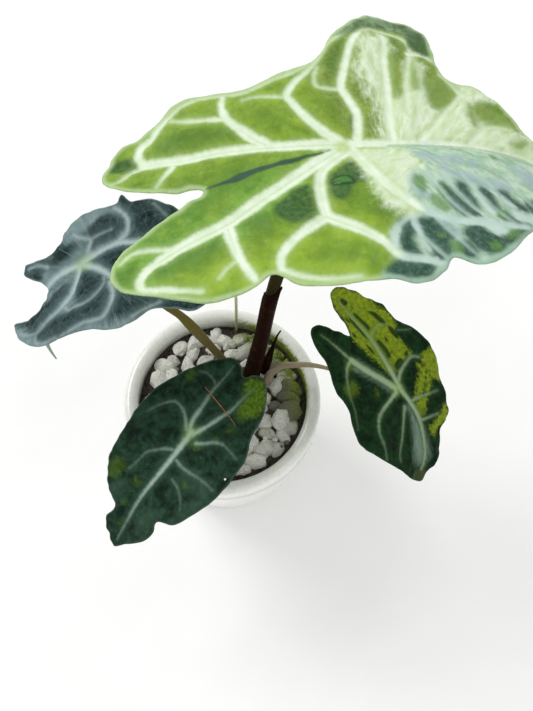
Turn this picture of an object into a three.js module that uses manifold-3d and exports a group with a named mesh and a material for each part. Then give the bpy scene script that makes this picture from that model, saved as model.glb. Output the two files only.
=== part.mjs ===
// A potted alocasia with four shield-shaped leaves in a white glazed pot.
// Millimetres, +Z up. The origin is the middle of the pot's base, where the pot rests.
// +X is to the right and +Y to the back, as seen from the front.
import * as THREE from 'three';
import { mergeVertices } from 'three/addons/utils/BufferGeometryUtils.js';
import Module from 'manifold-3d';

// Driving dimensions of the pot and its filling
const CLEARANCE = 0.3;
const POT_HEIGHT = 95;
const POT_RIM_RADIUS = 55;
const POT_MOUTH_RADIUS = 47.2;
const POT_BASE_RADIUS = 41;
const POT_WALL = 5;
const POT_FLOOR = 6;
const POT_LIP_DEPTH = 13;
const POT_LIP_STEP = 2.5;
const POT_BASE_EDGE = 2;
const POT_INNER_CORNER = 3;
const POT_STRAIGHT_BELOW_MIX = 12;
const POT_SIDES = 40;
const DRAIN_HOLES = 3;
const DRAIN_RADIUS = 4;
const DRAIN_CIRCLE_RADIUS = 22;
const DRAIN_SIDES = 16;
const MIX_TOP = 86;
const MIX_MOUND = 2;

// Pumice stones on the potting mix
const STONE_COUNT = 84;
const STONE_RADIUS = [3.9, 6.9];
const STONE_STRETCH = [1, 1.35];
const STONE_FLATTENING = [0.75, 0.95];
const STONE_RISE = [-0.12, 0.23];
const STONE_SEED = 11;

// The crown that carries the leaf stalks
const CROWN = { x: 14.5, y: 11.5, radius: 14, top: 90.5, bottom: 60, sides: 20 };

// Leaf blades
const BLADE_THICKNESS = 1.1;
const RIB_WIDTH = 3;
const PUCKER_WIDTH = 7;
const WAVE_REACH = 9;

// The four blades: where the stalk meets each one, how it is turned (degrees), how it bends
// (degrees over the given length), its outline from the notch between the lobes, and its main ribs.
const LEAVES = {
  top: {
    attach: [55.6, 49, 262], heading: 6, pitch: -3, roll: -8,
    length: 100, tipBend: 30, lobeBend: 18, arch: 0.1, fold: 0.1,
    cell: 8.2, rimStep: 6.5, ribHeight: 2.2, pucker: 1.6, wave: 1.2, waves: 13,
    outline: [
      [-58, -16], [-70, -12.5], [-84, -9.5], [-94, -5], [-100, 2], [-98, 9], [-93, 18], [-84, 21],
      [-75, 24], [-64, 33], [-50, 35.5], [-36, 35.5], [-22, 40], [-8, 46], [-1, 54], [4, 62.5],
      [14, 70], [26, 78], [36, 81], [44, 76], [48.5, 65], [48, 52], [50, 42.5], [58, 39], [69, 40],
      [75, 34], [81, 25], [92, 15.5], [104, 12], [118, 9], [137, 6], [114, -8], [97, -20], [84, -32],
      [70, -43], [56, -56], [44, -61], [34, -57.5], [29, -64], [18, -70.5], [4, -68], [-12, -68],
      [-26, -67], [-35, -62], [-44, -67], [-58, -68.5], [-78, -62.5], [-92, -57], [-97, -48],
      [-93, -38], [-82, -31.5], [-69, -24.5],
    ],
    ribs: [
      [[0, 0], [24, 1], [47, 3], [66, 4], [90, 3], [122, 4]],
      [[0, 0], [-17, 2], [-35, 5], [-58, 4], [-82, 4]],
      [[0, 0], [-24, -17], [-51, -35], [-75, -41], [-85, -50]],
      [[21, 4], [23, 24], [25, 47], [26, 63]],
      [[7, 2], [8, 15], [4, 32], [9, 47]],
      [[31, 4], [45, 18], [55, 31]],
      [[2, -4], [-10, -13], [-12, -24], [-13, -50]],
      [[4, -6], [9, -20], [19, -31], [28, -45]],
    ],
    swells: [[22, 58, 3, 18], [34, 78, -5, 12], [-86, 12, -3, 14], [100, -14, -2, 16]],
  },
  left: {
    attach: [-62.3, 34.1, 190], heading: 204, pitch: -20, roll: 8,
    length: 60, tipBend: 35, lobeBend: 15, arch: 0.12, fold: 0.12,
    cell: 5.8, rimStep: 4.6, ribHeight: 1.6, pucker: 2, wave: 0.7, waves: 9,
    outline: [
      [-27, 19], [-36, 17], [-46, 17], [-53, 13], [-56, 6], [-53, 0], [-47.5, -7.5], [-41, -13.5],
      [-33, -17], [-29.7, -23], [-26, -20], [-12, -22.5], [0, -21.5], [8, -15.5], [16, -14],
      [24, -16.5], [30, -18.5], [33, -16], [30, -10.5], [24.5, -4], [23.5, 1.5], [28, 5.5], [35, 6.7],
      [44, 4], [53.5, -0.5], [52, 8], [43, 20.5], [33, 27], [22, 31], [8, 36], [-5, 43], [-16, 44.5],
      [-24, 43.5], [-33, 48], [-42, 53.3], [-49, 50], [-47, 43], [-38, 30],
    ],
    ribs: [
      [[0, 0], [7, -1], [14, 0], [21, 3], [29, 9], [42, 13]],
      [[0, 0], [-10, -1], [-21, 1], [-36, 5], [-52, 6]],
      [[0, 0], [-8, 9], [-16, 22], [-26, 32], [-38, 42]],
      [[5, 3], [9, 12], [15, 16], [25, 18], [37, 18]],
    ],
    swells: [[-4, -14, 2, 9], [-36, -8, 1.5, 9], [46, 0, -2, 8]],
    tail: {
      root: [34, 19],
      course: [[-81, 2.2, 170], [-80.1, -0.1, 164], [-77.4, -3.6, 161]],
      radii: [1.1, 1.1, 0.7, 0.35],
    },
  },
  front: {
    attach: [-13.6, -33.1, 135], heading: 229, pitch: -12, roll: 6,
    length: 60, tipBend: 22, lobeBend: 10, arch: 0.12, fold: 0.1,
    cell: 5.8, rimStep: 4.6, ribHeight: 1.6, pucker: 1.6, wave: 0.8, waves: 10,
    outline: [
      [-39, 2], [-42.5, -3], [-43, -10], [-34, -18], [-25, -22], [-18, -25.5], [-9, -29.5], [8, -30.5],
      [24, -29], [38, -25.5], [48, -19], [54.2, -8.6], [62, -10.2], [69, -5], [72.3, 1], [66, 7],
      [57.5, 14.5], [51, 16.5], [44, 15.6], [40, 23], [30, 27.8], [18, 32], [2, 32.5], [-9, 31.5],
      [-18, 26.5], [-30, 23.7], [-40, 17], [-44.7, 10], [-43, 5],
    ],
    ribs: [
      [[0, 0], [14, 0], [34, -1], [52, 1], [68, 2]],
      [[0, 0], [-14, -2], [-26, -5], [-38, -8]],
      [[0, 0], [-14, 5], [-24, 10], [-37, 11]],
      [[12, -2], [15, -7], [22, -12], [36, -15]],
      [[14, 5], [16, 11], [14, 24]],
    ],
    swells: [[20, -20, 1.5, 10], [-18, -14, 1.5, 9], [48, 8, 1.5, 8]],
  },
  right: {
    attach: [94, -5.6, 125], heading: -51, pitch: -20, roll: -12,
    length: 60, tipBend: 35, lobeBend: 12, arch: 0.12, fold: 0.12,
    cell: 5.8, rimStep: 4.6, ribHeight: 1.6, pucker: 1.8, wave: 0.8, waves: 9,
    outline: [
      [-37.5, -4], [-44, -0.8], [-54, -0.2], [-61, 3.5], [-62, 9], [-56, 15.5], [-47, 18.7],
      [-39, 22.6], [-29, 23.3], [-20, 29], [-8, 30.2], [1, 28.8], [11, 24.2], [17.5, 22], [22, 18.5],
      [28, 17], [31.5, 10.5], [37, 6.8], [45, 2], [47.2, -5], [47.3, -10.5], [50, -14.5], [45, -20],
      [35, -25], [25, -30.8], [17, -35], [8, -38.5], [-1, -36.5], [-9, -32.3], [-21, -31.2],
      [-31, -27.2], [-46, -23.6], [-52.5, -19], [-52, -14], [-45, -9.5],
    ],
    ribs: [
      [[0, 0], [10, 2], [24, 0], [36, -6], [44, -13]],
      [[0, 0], [-15, 3], [-29, 5], [-44, 6], [-55, 7]],
      [[0, 0], [-13, -7], [-25, -12], [-36, -15], [-46, -16]],
      [[6, -3], [15, -8], [22, -16], [29, -23]],
    ],
    swells: [[-20, 18, 1.5, 9], [12, -22, 1.5, 9], [18, 14, 1.5, 8]],
  },
};

// Leaf stalks: their course from the crown to the blade, and their radius from foot to top
const STALKS = {
  top: {
    course: [
      [15.5, 13.2, 84], [17.6, 13.2, 103], [22.5, 16.3, 142], [28.4, 22, 190], [39, 34, 228],
      [55.6, 49, 262],
    ],
    radii: [3.5, 3.1, 2.9, 3.1, 2.8, 2.9],
  },
  left: {
    course: [
      [6.5, 16, 84], [3, 17.4, 97], [-1.4, 18.6, 111], [-6.1, 19.4, 125], [-11.2, 21, 139.5],
      [-17.2, 22, 153], [-25, 23.4, 164], [-42, 28.5, 179], [-62.3, 34.1, 190],
    ],
    radii: [2.6, 2.4, 2.2, 2.1, 2.1, 2, 1.8, 1.6, 1.9],
    wing: { from: 0.3, to: 0.58, width: 1.5, side: 200 },
  },
  front: {
    course: [[13, 3.5, 84], [11.5, -3, 106], [4, -16, 124], [-13.6, -33.1, 135]],
    radii: [2.5, 2.1, 1.8, 1.8],
  },
  right: {
    course: [
      [24, 9.8, 84], [26.7, 12.4, 98], [32.8, 14.4, 105], [40, 13.2, 110], [48.8, 11, 115.5],
      [57, 7.8, 119], [76, 0, 121], [94, -5.6, 125],
    ],
    radii: [2.3, 2.2, 1.9, 1.5, 1, 0.9, 1, 1.3],
  },
};
const STALK_SIDES = 10;
const STALK_STEP = 7;
const TAIL_SIDES = 6;

// The dark sheath round the foot of the tallest stalk, from the crown to its free tip.
// It runs between two shares of the stalk's length. Its slit is on the right, and past the
// share named opens it narrows from the slit's two edges to the tip's two edges (degrees).
const SHEATH = {
  from: 0.012, to: 0.57, opens: 0.84, slit: [34, 352], tip: [318, 342],
  thickness: [1.5, 1.1, 0.9, 0.8], leastThickness: 0.7, edgeShare: 0.55, overlap: 0.97,
  steps: 16, sides: 9,
};

// The young pointed scale leaf beside it, and the thin spent stalk at the back of the pot
const SCALE_LEAF = {
  course: [
    [22.8, 18, 84], [23.6, 17.6, 94], [26.4, 19.3, 110], [29.2, 21.2, 124], [30.6, 22.4, 130],
    [32.2, 23.8, 132.5],
  ],
  radii: [2.5, 2.5, 2.2, 1.3, 0.7, 0.4],
};
const SPENT_STALK = {
  course: [[7, 44.6, 74], [7.2, 44.6, 88], [7.9, 42, 112], [8.7, 39.4, 141]],
  radii: [0.9, 0.8, 0.8, 0.8],
};

const wasm = await Module();
wasm.setup();

// A repeatable random draw
function seededRandom(seed) {
  let state = seed;
  return () => {
    state = (state + 0x6d2b79f5) | 0;
    let value = Math.imul(state ^ (state >>> 15), 1 | state);
    value = (value + Math.imul(value ^ (value >>> 7), 61 | value)) ^ value;
    return ((value ^ (value >>> 14)) >>> 0) / 4294967296;
  };
}

// Between geometries and solids
function toSolid(geometry) {
  const bare = geometry.clone();
  bare.deleteAttribute('normal');
  bare.deleteAttribute('uv');
  const merged = mergeVertices(bare, 1e-4);
  const vertProperties = new Float32Array(merged.attributes.position.array);
  const triVerts = new Uint32Array(merged.index.array);
  return new wasm.Manifold(new wasm.Mesh({ numProp: 3, vertProperties, triVerts }));
}

function toGeometry(solid) {
  const mesh = solid.getMesh();
  const geometry = new THREE.BufferGeometry();
  const positions = new Float32Array((mesh.vertProperties.length / mesh.numProp) * 3);
  for (let i = 0; i < positions.length / 3; i++) {
    for (let k = 0; k < 3; k++) positions[i * 3 + k] = mesh.vertProperties[i * mesh.numProp + k];
  }
  geometry.setAttribute('position', new THREE.BufferAttribute(positions, 3));
  geometry.setIndex(new THREE.BufferAttribute(new Uint32Array(mesh.triVerts), 1));
  geometry.computeVertexNormals();
  return geometry;
}

function meshGeometry(points, triangles) {
  const geometry = new THREE.BufferGeometry();
  const positions = points.flatMap((point) => point.toArray());
  geometry.setAttribute('position', new THREE.Float32BufferAttribute(positions, 3));
  geometry.setIndex(triangles.flat());
  geometry.computeVertexNormals();
  return geometry;
}

function largestBody(solid) {
  return solid.decompose().reduce((best, body) => (body.volume() > best.volume() ? body : best));
}

function latheGeometry(profile, sides) {
  const geometry = new THREE.LatheGeometry(profile.map(([r, z]) => new THREE.Vector2(r, z)), sides);
  geometry.rotateX(Math.PI / 2);
  return geometry;
}

// Flat geometry of a blade: distances, nearest points and triangles
function segmentDistance(x, y, [ax, ay], [bx, by]) {
  const dx = bx - ax;
  const dy = by - ay;
  const t = THREE.MathUtils.clamp(((x - ax) * dx + (y - ay) * dy) / (dx * dx + dy * dy), 0, 1);
  return { distance: Math.hypot(x - ax - t * dx, y - ay - t * dy), t };
}

function nearestOnLine(x, y, line, closed) {
  const best = { distance: Infinity, along: 0 };
  const count = closed ? line.length : line.length - 1;
  for (let i = 0; i < count; i++) {
    const { distance, t } = segmentDistance(x, y, line[i], line[(i + 1) % line.length]);
    if (distance < best.distance) {
      best.distance = distance;
      best.along = (i + t) / count;
    }
  }
  return best;
}

function isInside(x, y, ring) {
  let inside = false;
  for (let i = 0, j = ring.length - 1; i < ring.length; j = i++) {
    const [xi, yi] = ring[i];
    const [xj, yj] = ring[j];
    if (yi > y !== yj > y && x < ((xj - xi) * (y - yi)) / (yj - yi) + xi) inside = !inside;
  }
  return inside;
}

function smoothLine(points, closed, step) {
  const flat = points.map(([x, y]) => new THREE.Vector3(x, y, 0));
  const curve = new THREE.CatmullRomCurve3(flat, closed, 'centripetal');
  const count = Math.max(2, Math.round(curve.getLength() / step));
  const spaced = curve.getSpacedPoints(count).map((p) => [p.x, p.y]);
  return closed ? spaced.slice(0, -1) : spaced;
}

function circleRound(points, a, b, c) {
  const [ax, ay] = points[a];
  const [bx, by] = points[b];
  const [cx, cy] = points[c];
  const twice = 2 * (ax * (by - cy) + bx * (cy - ay) + cx * (ay - by));
  const a2 = ax * ax + ay * ay;
  const b2 = bx * bx + by * by;
  const c2 = cx * cx + cy * cy;
  const x = (a2 * (by - cy) + b2 * (cy - ay) + c2 * (ay - by)) / twice;
  const y = (a2 * (cx - bx) + b2 * (ax - cx) + c2 * (bx - ax)) / twice;
  return { corners: [a, b, c], x, y, radius2: (ax - x) ** 2 + (ay - y) ** 2 };
}

function triangulate(points) {
  const far = 5000;
  const all = [...points, [-far, -far], [far, -far], [0, far]];
  const count = points.length;
  let triangles = [circleRound(all, count, count + 1, count + 2)];
  points.forEach(([x, y], index) => {
    const rim = new Map();
    triangles = triangles.filter((triangle) => {
      if ((x - triangle.x) ** 2 + (y - triangle.y) ** 2 > triangle.radius2) return true;
      triangle.corners.forEach((corner, k) => {
        const next = triangle.corners[(k + 1) % 3];
        const key = `${Math.min(corner, next)}_${Math.max(corner, next)}`;
        if (rim.has(key)) rim.delete(key);
        else rim.set(key, [corner, next]);
      });
      return false;
    });
    rim.forEach(([from, to]) => triangles.push(circleRound(all, from, to, index)));
  });
  return triangles.map((triangle) => triangle.corners).filter((corners) => corners.every((k) => k < count));
}

function counterClockwise(points, [a, b, c]) {
  const [ax, ay] = points[a];
  const [bx, by] = points[b];
  const [cx, cy] = points[c];
  return (bx - ax) * (cy - ay) - (cx - ax) * (by - ay) > 0 ? [a, b, c] : [a, c, b];
}

function ringArea(ring) {
  return ring.reduce((sum, [x, y], i) => {
    const [nx, ny] = ring[(i + 1) % ring.length];
    return sum + (x * ny - nx * y) / 2;
  }, 0);
}

// One flat net of triangles for a blade, with points along its rim and its ribs
function flatNet(leaf) {
  const rim = smoothLine(leaf.outline, true, leaf.rimStep);
  if (ringArea(rim) < 0) rim.reverse();
  const points = [...rim];
  const keepsClear = (x, y, room) => points.every(([px, py]) => Math.hypot(px - x, py - y) > room);
  const add = (x, y, room) => {
    const clearOfRim = nearestOnLine(x, y, rim, true).distance > 0.55 * leaf.rimStep;
    if (isInside(x, y, rim) && clearOfRim && keepsClear(x, y, room)) points.push([x, y]);
  };
  leaf.ribs.forEach((rib) => {
    smoothLine(rib, false, 0.85 * leaf.cell).forEach(([x, y]) => add(x, y, 0.5 * leaf.cell));
  });
  const reach = 150;
  const rows = Math.ceil(reach / leaf.cell);
  for (let row = -rows; row <= rows; row++) {
    for (let column = -rows; column <= rows; column++) {
      const x = (column + (row % 2 ? 0.5 : 0)) * leaf.cell;
      add(x, row * leaf.cell * 0.866, 0.68 * leaf.cell);
    }
  }
  const triangles = triangulate(points)
    .filter((corners) => {
      const x = corners.reduce((sum, k) => sum + points[k][0] / 3, 0);
      const y = corners.reduce((sum, k) => sum + points[k][1] / 3, 0);
      return isInside(x, y, rim);
    })
    .map((corners) => counterClockwise(points, corners));
  return { points, triangles, rim };
}

// How far the blade's middle surface stands above its flat plane at a point
function bladeHeight(leaf, rim, x, y) {
  const spread = 0.06 * leaf.length;
  const ribDistance = Math.min(...leaf.ribs.map((rib) => nearestOnLine(x, y, rib, false).distance));
  const edge = nearestOnLine(x, y, rim, true);
  let height = (-leaf.arch * y * y) / leaf.length;
  height += leaf.fold * (Math.hypot(y, spread) - spread);
  height -= leaf.pucker * Math.exp(-((ribDistance / PUCKER_WIDTH) ** 2));
  const ripple = Math.sin(2 * Math.PI * leaf.waves * edge.along);
  height += leaf.wave * Math.exp(-edge.distance / WAVE_REACH) * ripple;
  leaf.swells.forEach(([sx, sy, rise, reach]) => {
    height += rise * Math.exp(-(((x - sx) ** 2 + (y - sy) ** 2) / reach ** 2));
  });
  return height;
}

function ribRelief(leaf, x, y) {
  return Math.max(
    ...leaf.ribs.map((rib) => {
      const { distance, along } = nearestOnLine(x, y, rib, false);
      return leaf.ribHeight * (1 - 0.75 * along) * Math.exp(-((distance / RIB_WIDTH) ** 2));
    }),
  );
}

// Blade axes in space: along the midrib, to the left of it, and up from the blade
function bladeFrame(leaf) {
  const [heading, pitch, roll] = [leaf.heading, leaf.pitch, leaf.roll].map(THREE.MathUtils.degToRad);
  const along = new THREE.Vector3(
    Math.cos(pitch) * Math.cos(heading), Math.cos(pitch) * Math.sin(heading), Math.sin(pitch),
  );
  const level = new THREE.Vector3(-Math.sin(heading), Math.cos(heading), 0);
  const side = level.applyAxisAngle(along, roll);
  return { along, side, up: new THREE.Vector3().crossVectors(along, side) };
}

// Bends a point of the flat blade over the midrib and sets it in space
function placeOnBlade(leaf, frame, x, y, height) {
  const bend = THREE.MathUtils.degToRad(x > 0 ? leaf.tipBend : leaf.lobeBend) / leaf.length;
  const turn = bend * x;
  const forward = Math.sin(turn) / bend + height * Math.sin(turn);
  const up = -(1 - Math.cos(turn)) / bend + height * Math.cos(turn);
  return new THREE.Vector3(...leaf.attach)
    .addScaledVector(frame.along, forward)
    .addScaledVector(frame.side, y)
    .addScaledVector(frame.up, up);
}

function bladeGeometry(leaf, net, extra) {
  const frame = bladeFrame(leaf);
  const half = BLADE_THICKNESS / 2 + extra;
  const heights = net.points.map(([x, y]) => bladeHeight(leaf, net.rim, x, y));
  const upper = net.points.map(([x, y], i) => placeOnBlade(leaf, frame, x, y, heights[i] + half));
  const lower = net.points.map(([x, y], i) =>
    placeOnBlade(leaf, frame, x, y, heights[i] - half - ribRelief(leaf, x, y)));
  const count = net.points.length;
  const triangles = [];
  net.triangles.forEach(([a, b, c]) => triangles.push([a, b, c], [a + count, c + count, b + count]));
  net.rim.forEach((point, i) => {
    const next = (i + 1) % net.rim.length;
    triangles.push([next, i, i + count], [next, i + count, next + count]);
  });
  return meshGeometry([...upper, ...lower], triangles);
}

function curveThrough(course) {
  return new THREE.CatmullRomCurve3(course.map((point) => new THREE.Vector3(...point)), false, 'centripetal');
}

function capTriangles(section) {
  return THREE.ShapeUtils.triangulateShape(section.map(([x, y]) => new THREE.Vector2(x, y)), []);
}

// A closed tube of any section along a course; the section is drawn in the X and Y of its foot
function sweep(course, steps, from, to, sectionAt) {
  const curve = curveThrough(course);
  const back = new THREE.Vector3(0, 1, 0);
  const points = [];
  const triangles = [];
  let sides = 0;
  for (let i = 0; i <= steps; i++) {
    const t = THREE.MathUtils.lerp(from, to, i / steps);
    const middle = curve.getPointAt(t);
    const tangent = curve.getTangentAt(t);
    const rear = back.clone().addScaledVector(tangent, -back.dot(tangent)).normalize();
    const right = new THREE.Vector3().crossVectors(rear, tangent);
    const section = sectionAt(t, i / steps);
    sides = section.length;
    section.forEach(([x, y]) => {
      points.push(middle.clone().addScaledVector(right, x).addScaledVector(rear, y));
    });
  }
  for (let i = 0; i < steps; i++) {
    for (let k = 0; k < sides; k++) {
      const next = (k + 1) % sides;
      const [a, b, c, d] = [i * sides + k, i * sides + next, (i + 1) * sides + next, (i + 1) * sides + k];
      triangles.push([a, b, c], [a, c, d]);
    }
  }
  capTriangles(sectionAt(from, 0)).forEach(([a, b, c]) => triangles.push([a, c, b]));
  capTriangles(sectionAt(to, 1)).forEach((corners) => triangles.push(corners.map((k) => k + steps * sides)));
  return meshGeometry(points, triangles);
}

function blend(values, t) {
  const place = t * (values.length - 1);
  const index = Math.min(Math.floor(place), values.length - 2);
  return THREE.MathUtils.lerp(values[index], values[index + 1], place - index);
}

function wingWidth(wing, t, angle) {
  if (!wing || t < wing.from || t > wing.to) return 0;
  const rise = Math.sin((Math.PI * (t - wing.from)) / (wing.to - wing.from));
  const off = Math.cos(angle - THREE.MathUtils.degToRad(wing.side));
  return wing.width * rise * Math.max(0, off) ** 6;
}

function stalkGeometry(stalk, sides) {
  const steps = Math.max(6, Math.round(curveThrough(stalk.course).getLength() / STALK_STEP));
  return sweep(stalk.course, steps, 0, 1, (t) =>
    Array.from({ length: sides }, (unused, k) => {
      const angle = (2 * Math.PI * k) / sides;
      const radius = blend(stalk.radii, t) + wingWidth(stalk.wing, t, angle);
      return [radius * Math.cos(angle), radius * Math.sin(angle)];
    }));
}

// The drip tip that curls down from under a blade's edge
function tailSolid(leaf, net) {
  const [x, y] = leaf.tail.root;
  const height = bladeHeight(leaf, net.rim, x, y) - BLADE_THICKNESS / 2;
  const root = placeOnBlade(leaf, bladeFrame(leaf), x, y, height);
  return toSolid(stalkGeometry({ ...leaf.tail, course: [root.toArray(), ...leaf.tail.course] }, TAIL_SIDES));
}

function stalkRoom(stalk, sides) {
  const wider = { ...stalk, radii: stalk.radii.map((radius) => radius + CLEARANCE) };
  return toSolid(stalkGeometry(wider, sides));
}

// Sheath section: a shell open on the right, which narrows to the free tip beside the slit
function sheathSection(t, share) {
  const { sides, slit, tip, edgeShare } = SHEATH;
  const inner = blend(STALKS.top.radii, t) * SHEATH.overlap;
  const closing = THREE.MathUtils.smoothstep(share, SHEATH.opens, 1);
  const start = THREE.MathUtils.degToRad(THREE.MathUtils.lerp(slit[0], tip[0], closing));
  const end = THREE.MathUtils.degToRad(THREE.MathUtils.lerp(slit[1], tip[1], closing));
  const outline = [];
  for (let k = 0; k <= sides; k++) {
    const angle = THREE.MathUtils.lerp(start, end, k / sides);
    const fullness = edgeShare + (1 - edgeShare) * Math.sin((Math.PI * k) / sides);
    const thickness = Math.max(SHEATH.leastThickness, blend(SHEATH.thickness, share) * fullness);
    const outer = inner + CLEARANCE + thickness;
    outline.push([outer * Math.cos(angle), outer * Math.sin(angle)]);
  }
  for (let k = sides; k >= 0; k--) {
    const angle = THREE.MathUtils.lerp(start, end, k / sides);
    outline.push([inner * Math.cos(angle), inner * Math.sin(angle)]);
  }
  return outline;
}

// Pot: a turned shell with a thick rolled lip, a flat base and drain holes
function potProfile() {
  const lip = (POT_RIM_RADIUS - POT_MOUTH_RADIUS) / 2;
  const underLip = POT_HEIGHT - POT_LIP_DEPTH;
  const wallSteps = 3;
  const lipSteps = 6;
  const profile = [[0, 0], [POT_BASE_RADIUS - POT_BASE_EDGE, 0], [POT_BASE_RADIUS, POT_BASE_EDGE]];
  for (let k = 1; k <= wallSteps; k++) {
    const swell = Math.sin(((k / wallSteps) * Math.PI) / 2);
    const radius = THREE.MathUtils.lerp(POT_BASE_RADIUS, POT_RIM_RADIUS - POT_LIP_STEP, swell);
    profile.push([radius, THREE.MathUtils.lerp(POT_BASE_EDGE, underLip - POT_LIP_STEP, k / wallSteps)]);
  }
  profile.push([POT_RIM_RADIUS, underLip]);
  for (let k = 0; k <= lipSteps; k++) {
    const angle = (Math.PI * k) / lipSteps;
    profile.push([POT_MOUTH_RADIUS + lip + lip * Math.cos(angle), POT_HEIGHT - lip + lip * Math.sin(angle)]);
  }
  return [...profile, ...potInside(0).reverse()];
}

// The pot's inside from the middle of its floor to the straight wall, or the mix's outside within it
function potInside(room) {
  const foot = POT_BASE_RADIUS - POT_WALL;
  return [
    [0, POT_FLOOR + room],
    [foot - POT_INNER_CORNER - room, POT_FLOOR + room],
    [foot + POT_INNER_CORNER - room, POT_FLOOR + 3 * POT_INNER_CORNER],
    [POT_MOUTH_RADIUS - room, MIX_TOP - POT_STRAIGHT_BELOW_MIX],
  ];
}

function potSolid() {
  let solid = toSolid(latheGeometry(potProfile(), POT_SIDES));
  for (let k = 0; k < DRAIN_HOLES; k++) {
    const hole = new THREE.CylinderGeometry(DRAIN_RADIUS, DRAIN_RADIUS, 4 * POT_FLOOR, DRAIN_SIDES);
    hole.rotateX(Math.PI / 2);
    const angle = (2 * Math.PI * k) / DRAIN_HOLES;
    hole.translate(DRAIN_CIRCLE_RADIUS * Math.cos(angle), DRAIN_CIRCLE_RADIUS * Math.sin(angle), 0);
    solid = solid.subtract(toSolid(hole));
  }
  return solid;
}

// Crown: the short swollen stem base, in a plain hole in the mix
function crownGeometry(room) {
  const { radius, top, bottom } = CROWN;
  const height = top - bottom;
  const profile = [
    [0, bottom - room],
    [0.5 * radius + room, bottom - room],
    [0.86 * radius + room, bottom + 0.26 * height],
    [radius + room, bottom + 0.6 * height],
    [radius + room, bottom + 0.84 * height],
    [0.8 * radius + room, bottom + 0.95 * height + room],
    [0.45 * radius, top + room],
    [0, top + room],
  ];
  const geometry = latheGeometry(profile, CROWN.sides);
  geometry.translate(CROWN.x, CROWN.y, 0);
  return geometry;
}

function crownHole() {
  const foot = CROWN.bottom - CLEARANCE;
  const depth = 2 * (MIX_TOP - foot);
  const radius = CROWN.radius + CLEARANCE;
  const hole = new THREE.CylinderGeometry(radius, radius, depth, CROWN.sides);
  hole.rotateX(Math.PI / 2);
  hole.translate(CROWN.x, CROWN.y, foot + depth / 2);
  return toSolid(hole);
}

// Pumice: small angular stones spread evenly over the mix by the golden angle
function stoneSolids(random) {
  const draw = ([least, most]) => THREE.MathUtils.lerp(least, most, random());
  const goldenAngle = Math.PI * (3 - Math.sqrt(5));
  const reach = POT_MOUTH_RADIUS - 4 * CLEARANCE;
  return Array.from({ length: STONE_COUNT }, (unused, k) => {
    const size = draw(STONE_RADIUS);
    const stretch = draw(STONE_STRETCH);
    const stone = new THREE.IcosahedronGeometry(size, 0);
    stone.scale(stretch, 1, draw(STONE_FLATTENING));
    stone.rotateX(draw([0, Math.PI]));
    stone.rotateZ(draw([0, 2 * Math.PI]));
    const radius = Math.min(reach - size * stretch, reach * Math.sqrt((k + 0.5) / STONE_COUNT));
    const angle = k * goldenAngle;
    stone.translate(radius * Math.cos(angle), radius * Math.sin(angle), MIX_TOP + size * draw(STONE_RISE));
    return toSolid(stone);
  });
}

function mixSolid() {
  const wall = POT_MOUTH_RADIUS - CLEARANCE;
  const profile = [
    ...potInside(CLEARANCE),
    [wall, MIX_TOP - MIX_MOUND / 2],
    [0.6 * wall, MIX_TOP + MIX_MOUND / 2],
    [0, MIX_TOP + MIX_MOUND],
  ];
  let solid = toSolid(latheGeometry(profile, POT_SIDES));
  stoneSolids(seededRandom(STONE_SEED)).forEach((stone) => {
    solid = solid.add(stone);
  });
  return largestBody(solid.subtract(crownHole()).subtract(stalkRoom(SPENT_STALK, TAIL_SIDES)));
}

// Materials
const materials = {
  pot: new THREE.MeshStandardMaterial({ color: 0xf1f1ee, roughness: 0.18, metalness: 0 }),
  mix: new THREE.MeshStandardMaterial({ color: 0xbdb6aa, roughness: 0.95, metalness: 0 }),
  crown: new THREE.MeshStandardMaterial({ color: 0x4a3a2a, roughness: 0.85, metalness: 0 }),
  limeLeaf: new THREE.MeshStandardMaterial({ color: 0x82a63c, roughness: 0.42, metalness: 0 }),
  darkLeaf: new THREE.MeshStandardMaterial({ color: 0x2f4740, roughness: 0.4, metalness: 0 }),
  oliveStalk: new THREE.MeshStandardMaterial({ color: 0x55562a, roughness: 0.5, metalness: 0 }),
  paleStalk: new THREE.MeshStandardMaterial({ color: 0xb49a86, roughness: 0.5, metalness: 0 }),
  sheath: new THREE.MeshStandardMaterial({ color: 0x3c1f1a, roughness: 0.55, metalness: 0 }),
};

const group = new THREE.Group();

function addPiece(name, geometry, material) {
  const mesh = new THREE.Mesh(geometry, material);
  mesh.name = name;
  group.add(mesh);
}

// Put the plant together
addPiece('pot', toGeometry(potSolid()), materials.pot);
addPiece('potting_mix', toGeometry(mixSolid()), materials.mix);
addPiece('crown', crownGeometry(0), materials.crown);

const crownRoom = toSolid(crownGeometry(CLEARANCE));
const nets = Object.fromEntries(Object.entries(LEAVES).map(([name, leaf]) => [name, flatNet(leaf)]));

Object.entries(LEAVES).forEach(([name, leaf]) => {
  const blade = bladeGeometry(leaf, nets[name], 0);
  const geometry = leaf.tail ? toGeometry(toSolid(blade).add(tailSolid(leaf, nets[name]))) : blade;
  addPiece(`leaf_${name}`, geometry, name === 'top' ? materials.limeLeaf : materials.darkLeaf);
});

Object.entries(STALKS).forEach(([name, stalk]) => {
  const bladeRoom = toSolid(bladeGeometry(LEAVES[name], nets[name], CLEARANCE));
  const solid = toSolid(stalkGeometry(stalk, STALK_SIDES)).subtract(crownRoom).subtract(bladeRoom);
  const material = name === 'right' ? materials.paleStalk : materials.oliveStalk;
  addPiece(`petiole_${name}`, toGeometry(largestBody(solid)), material);
});

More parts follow.
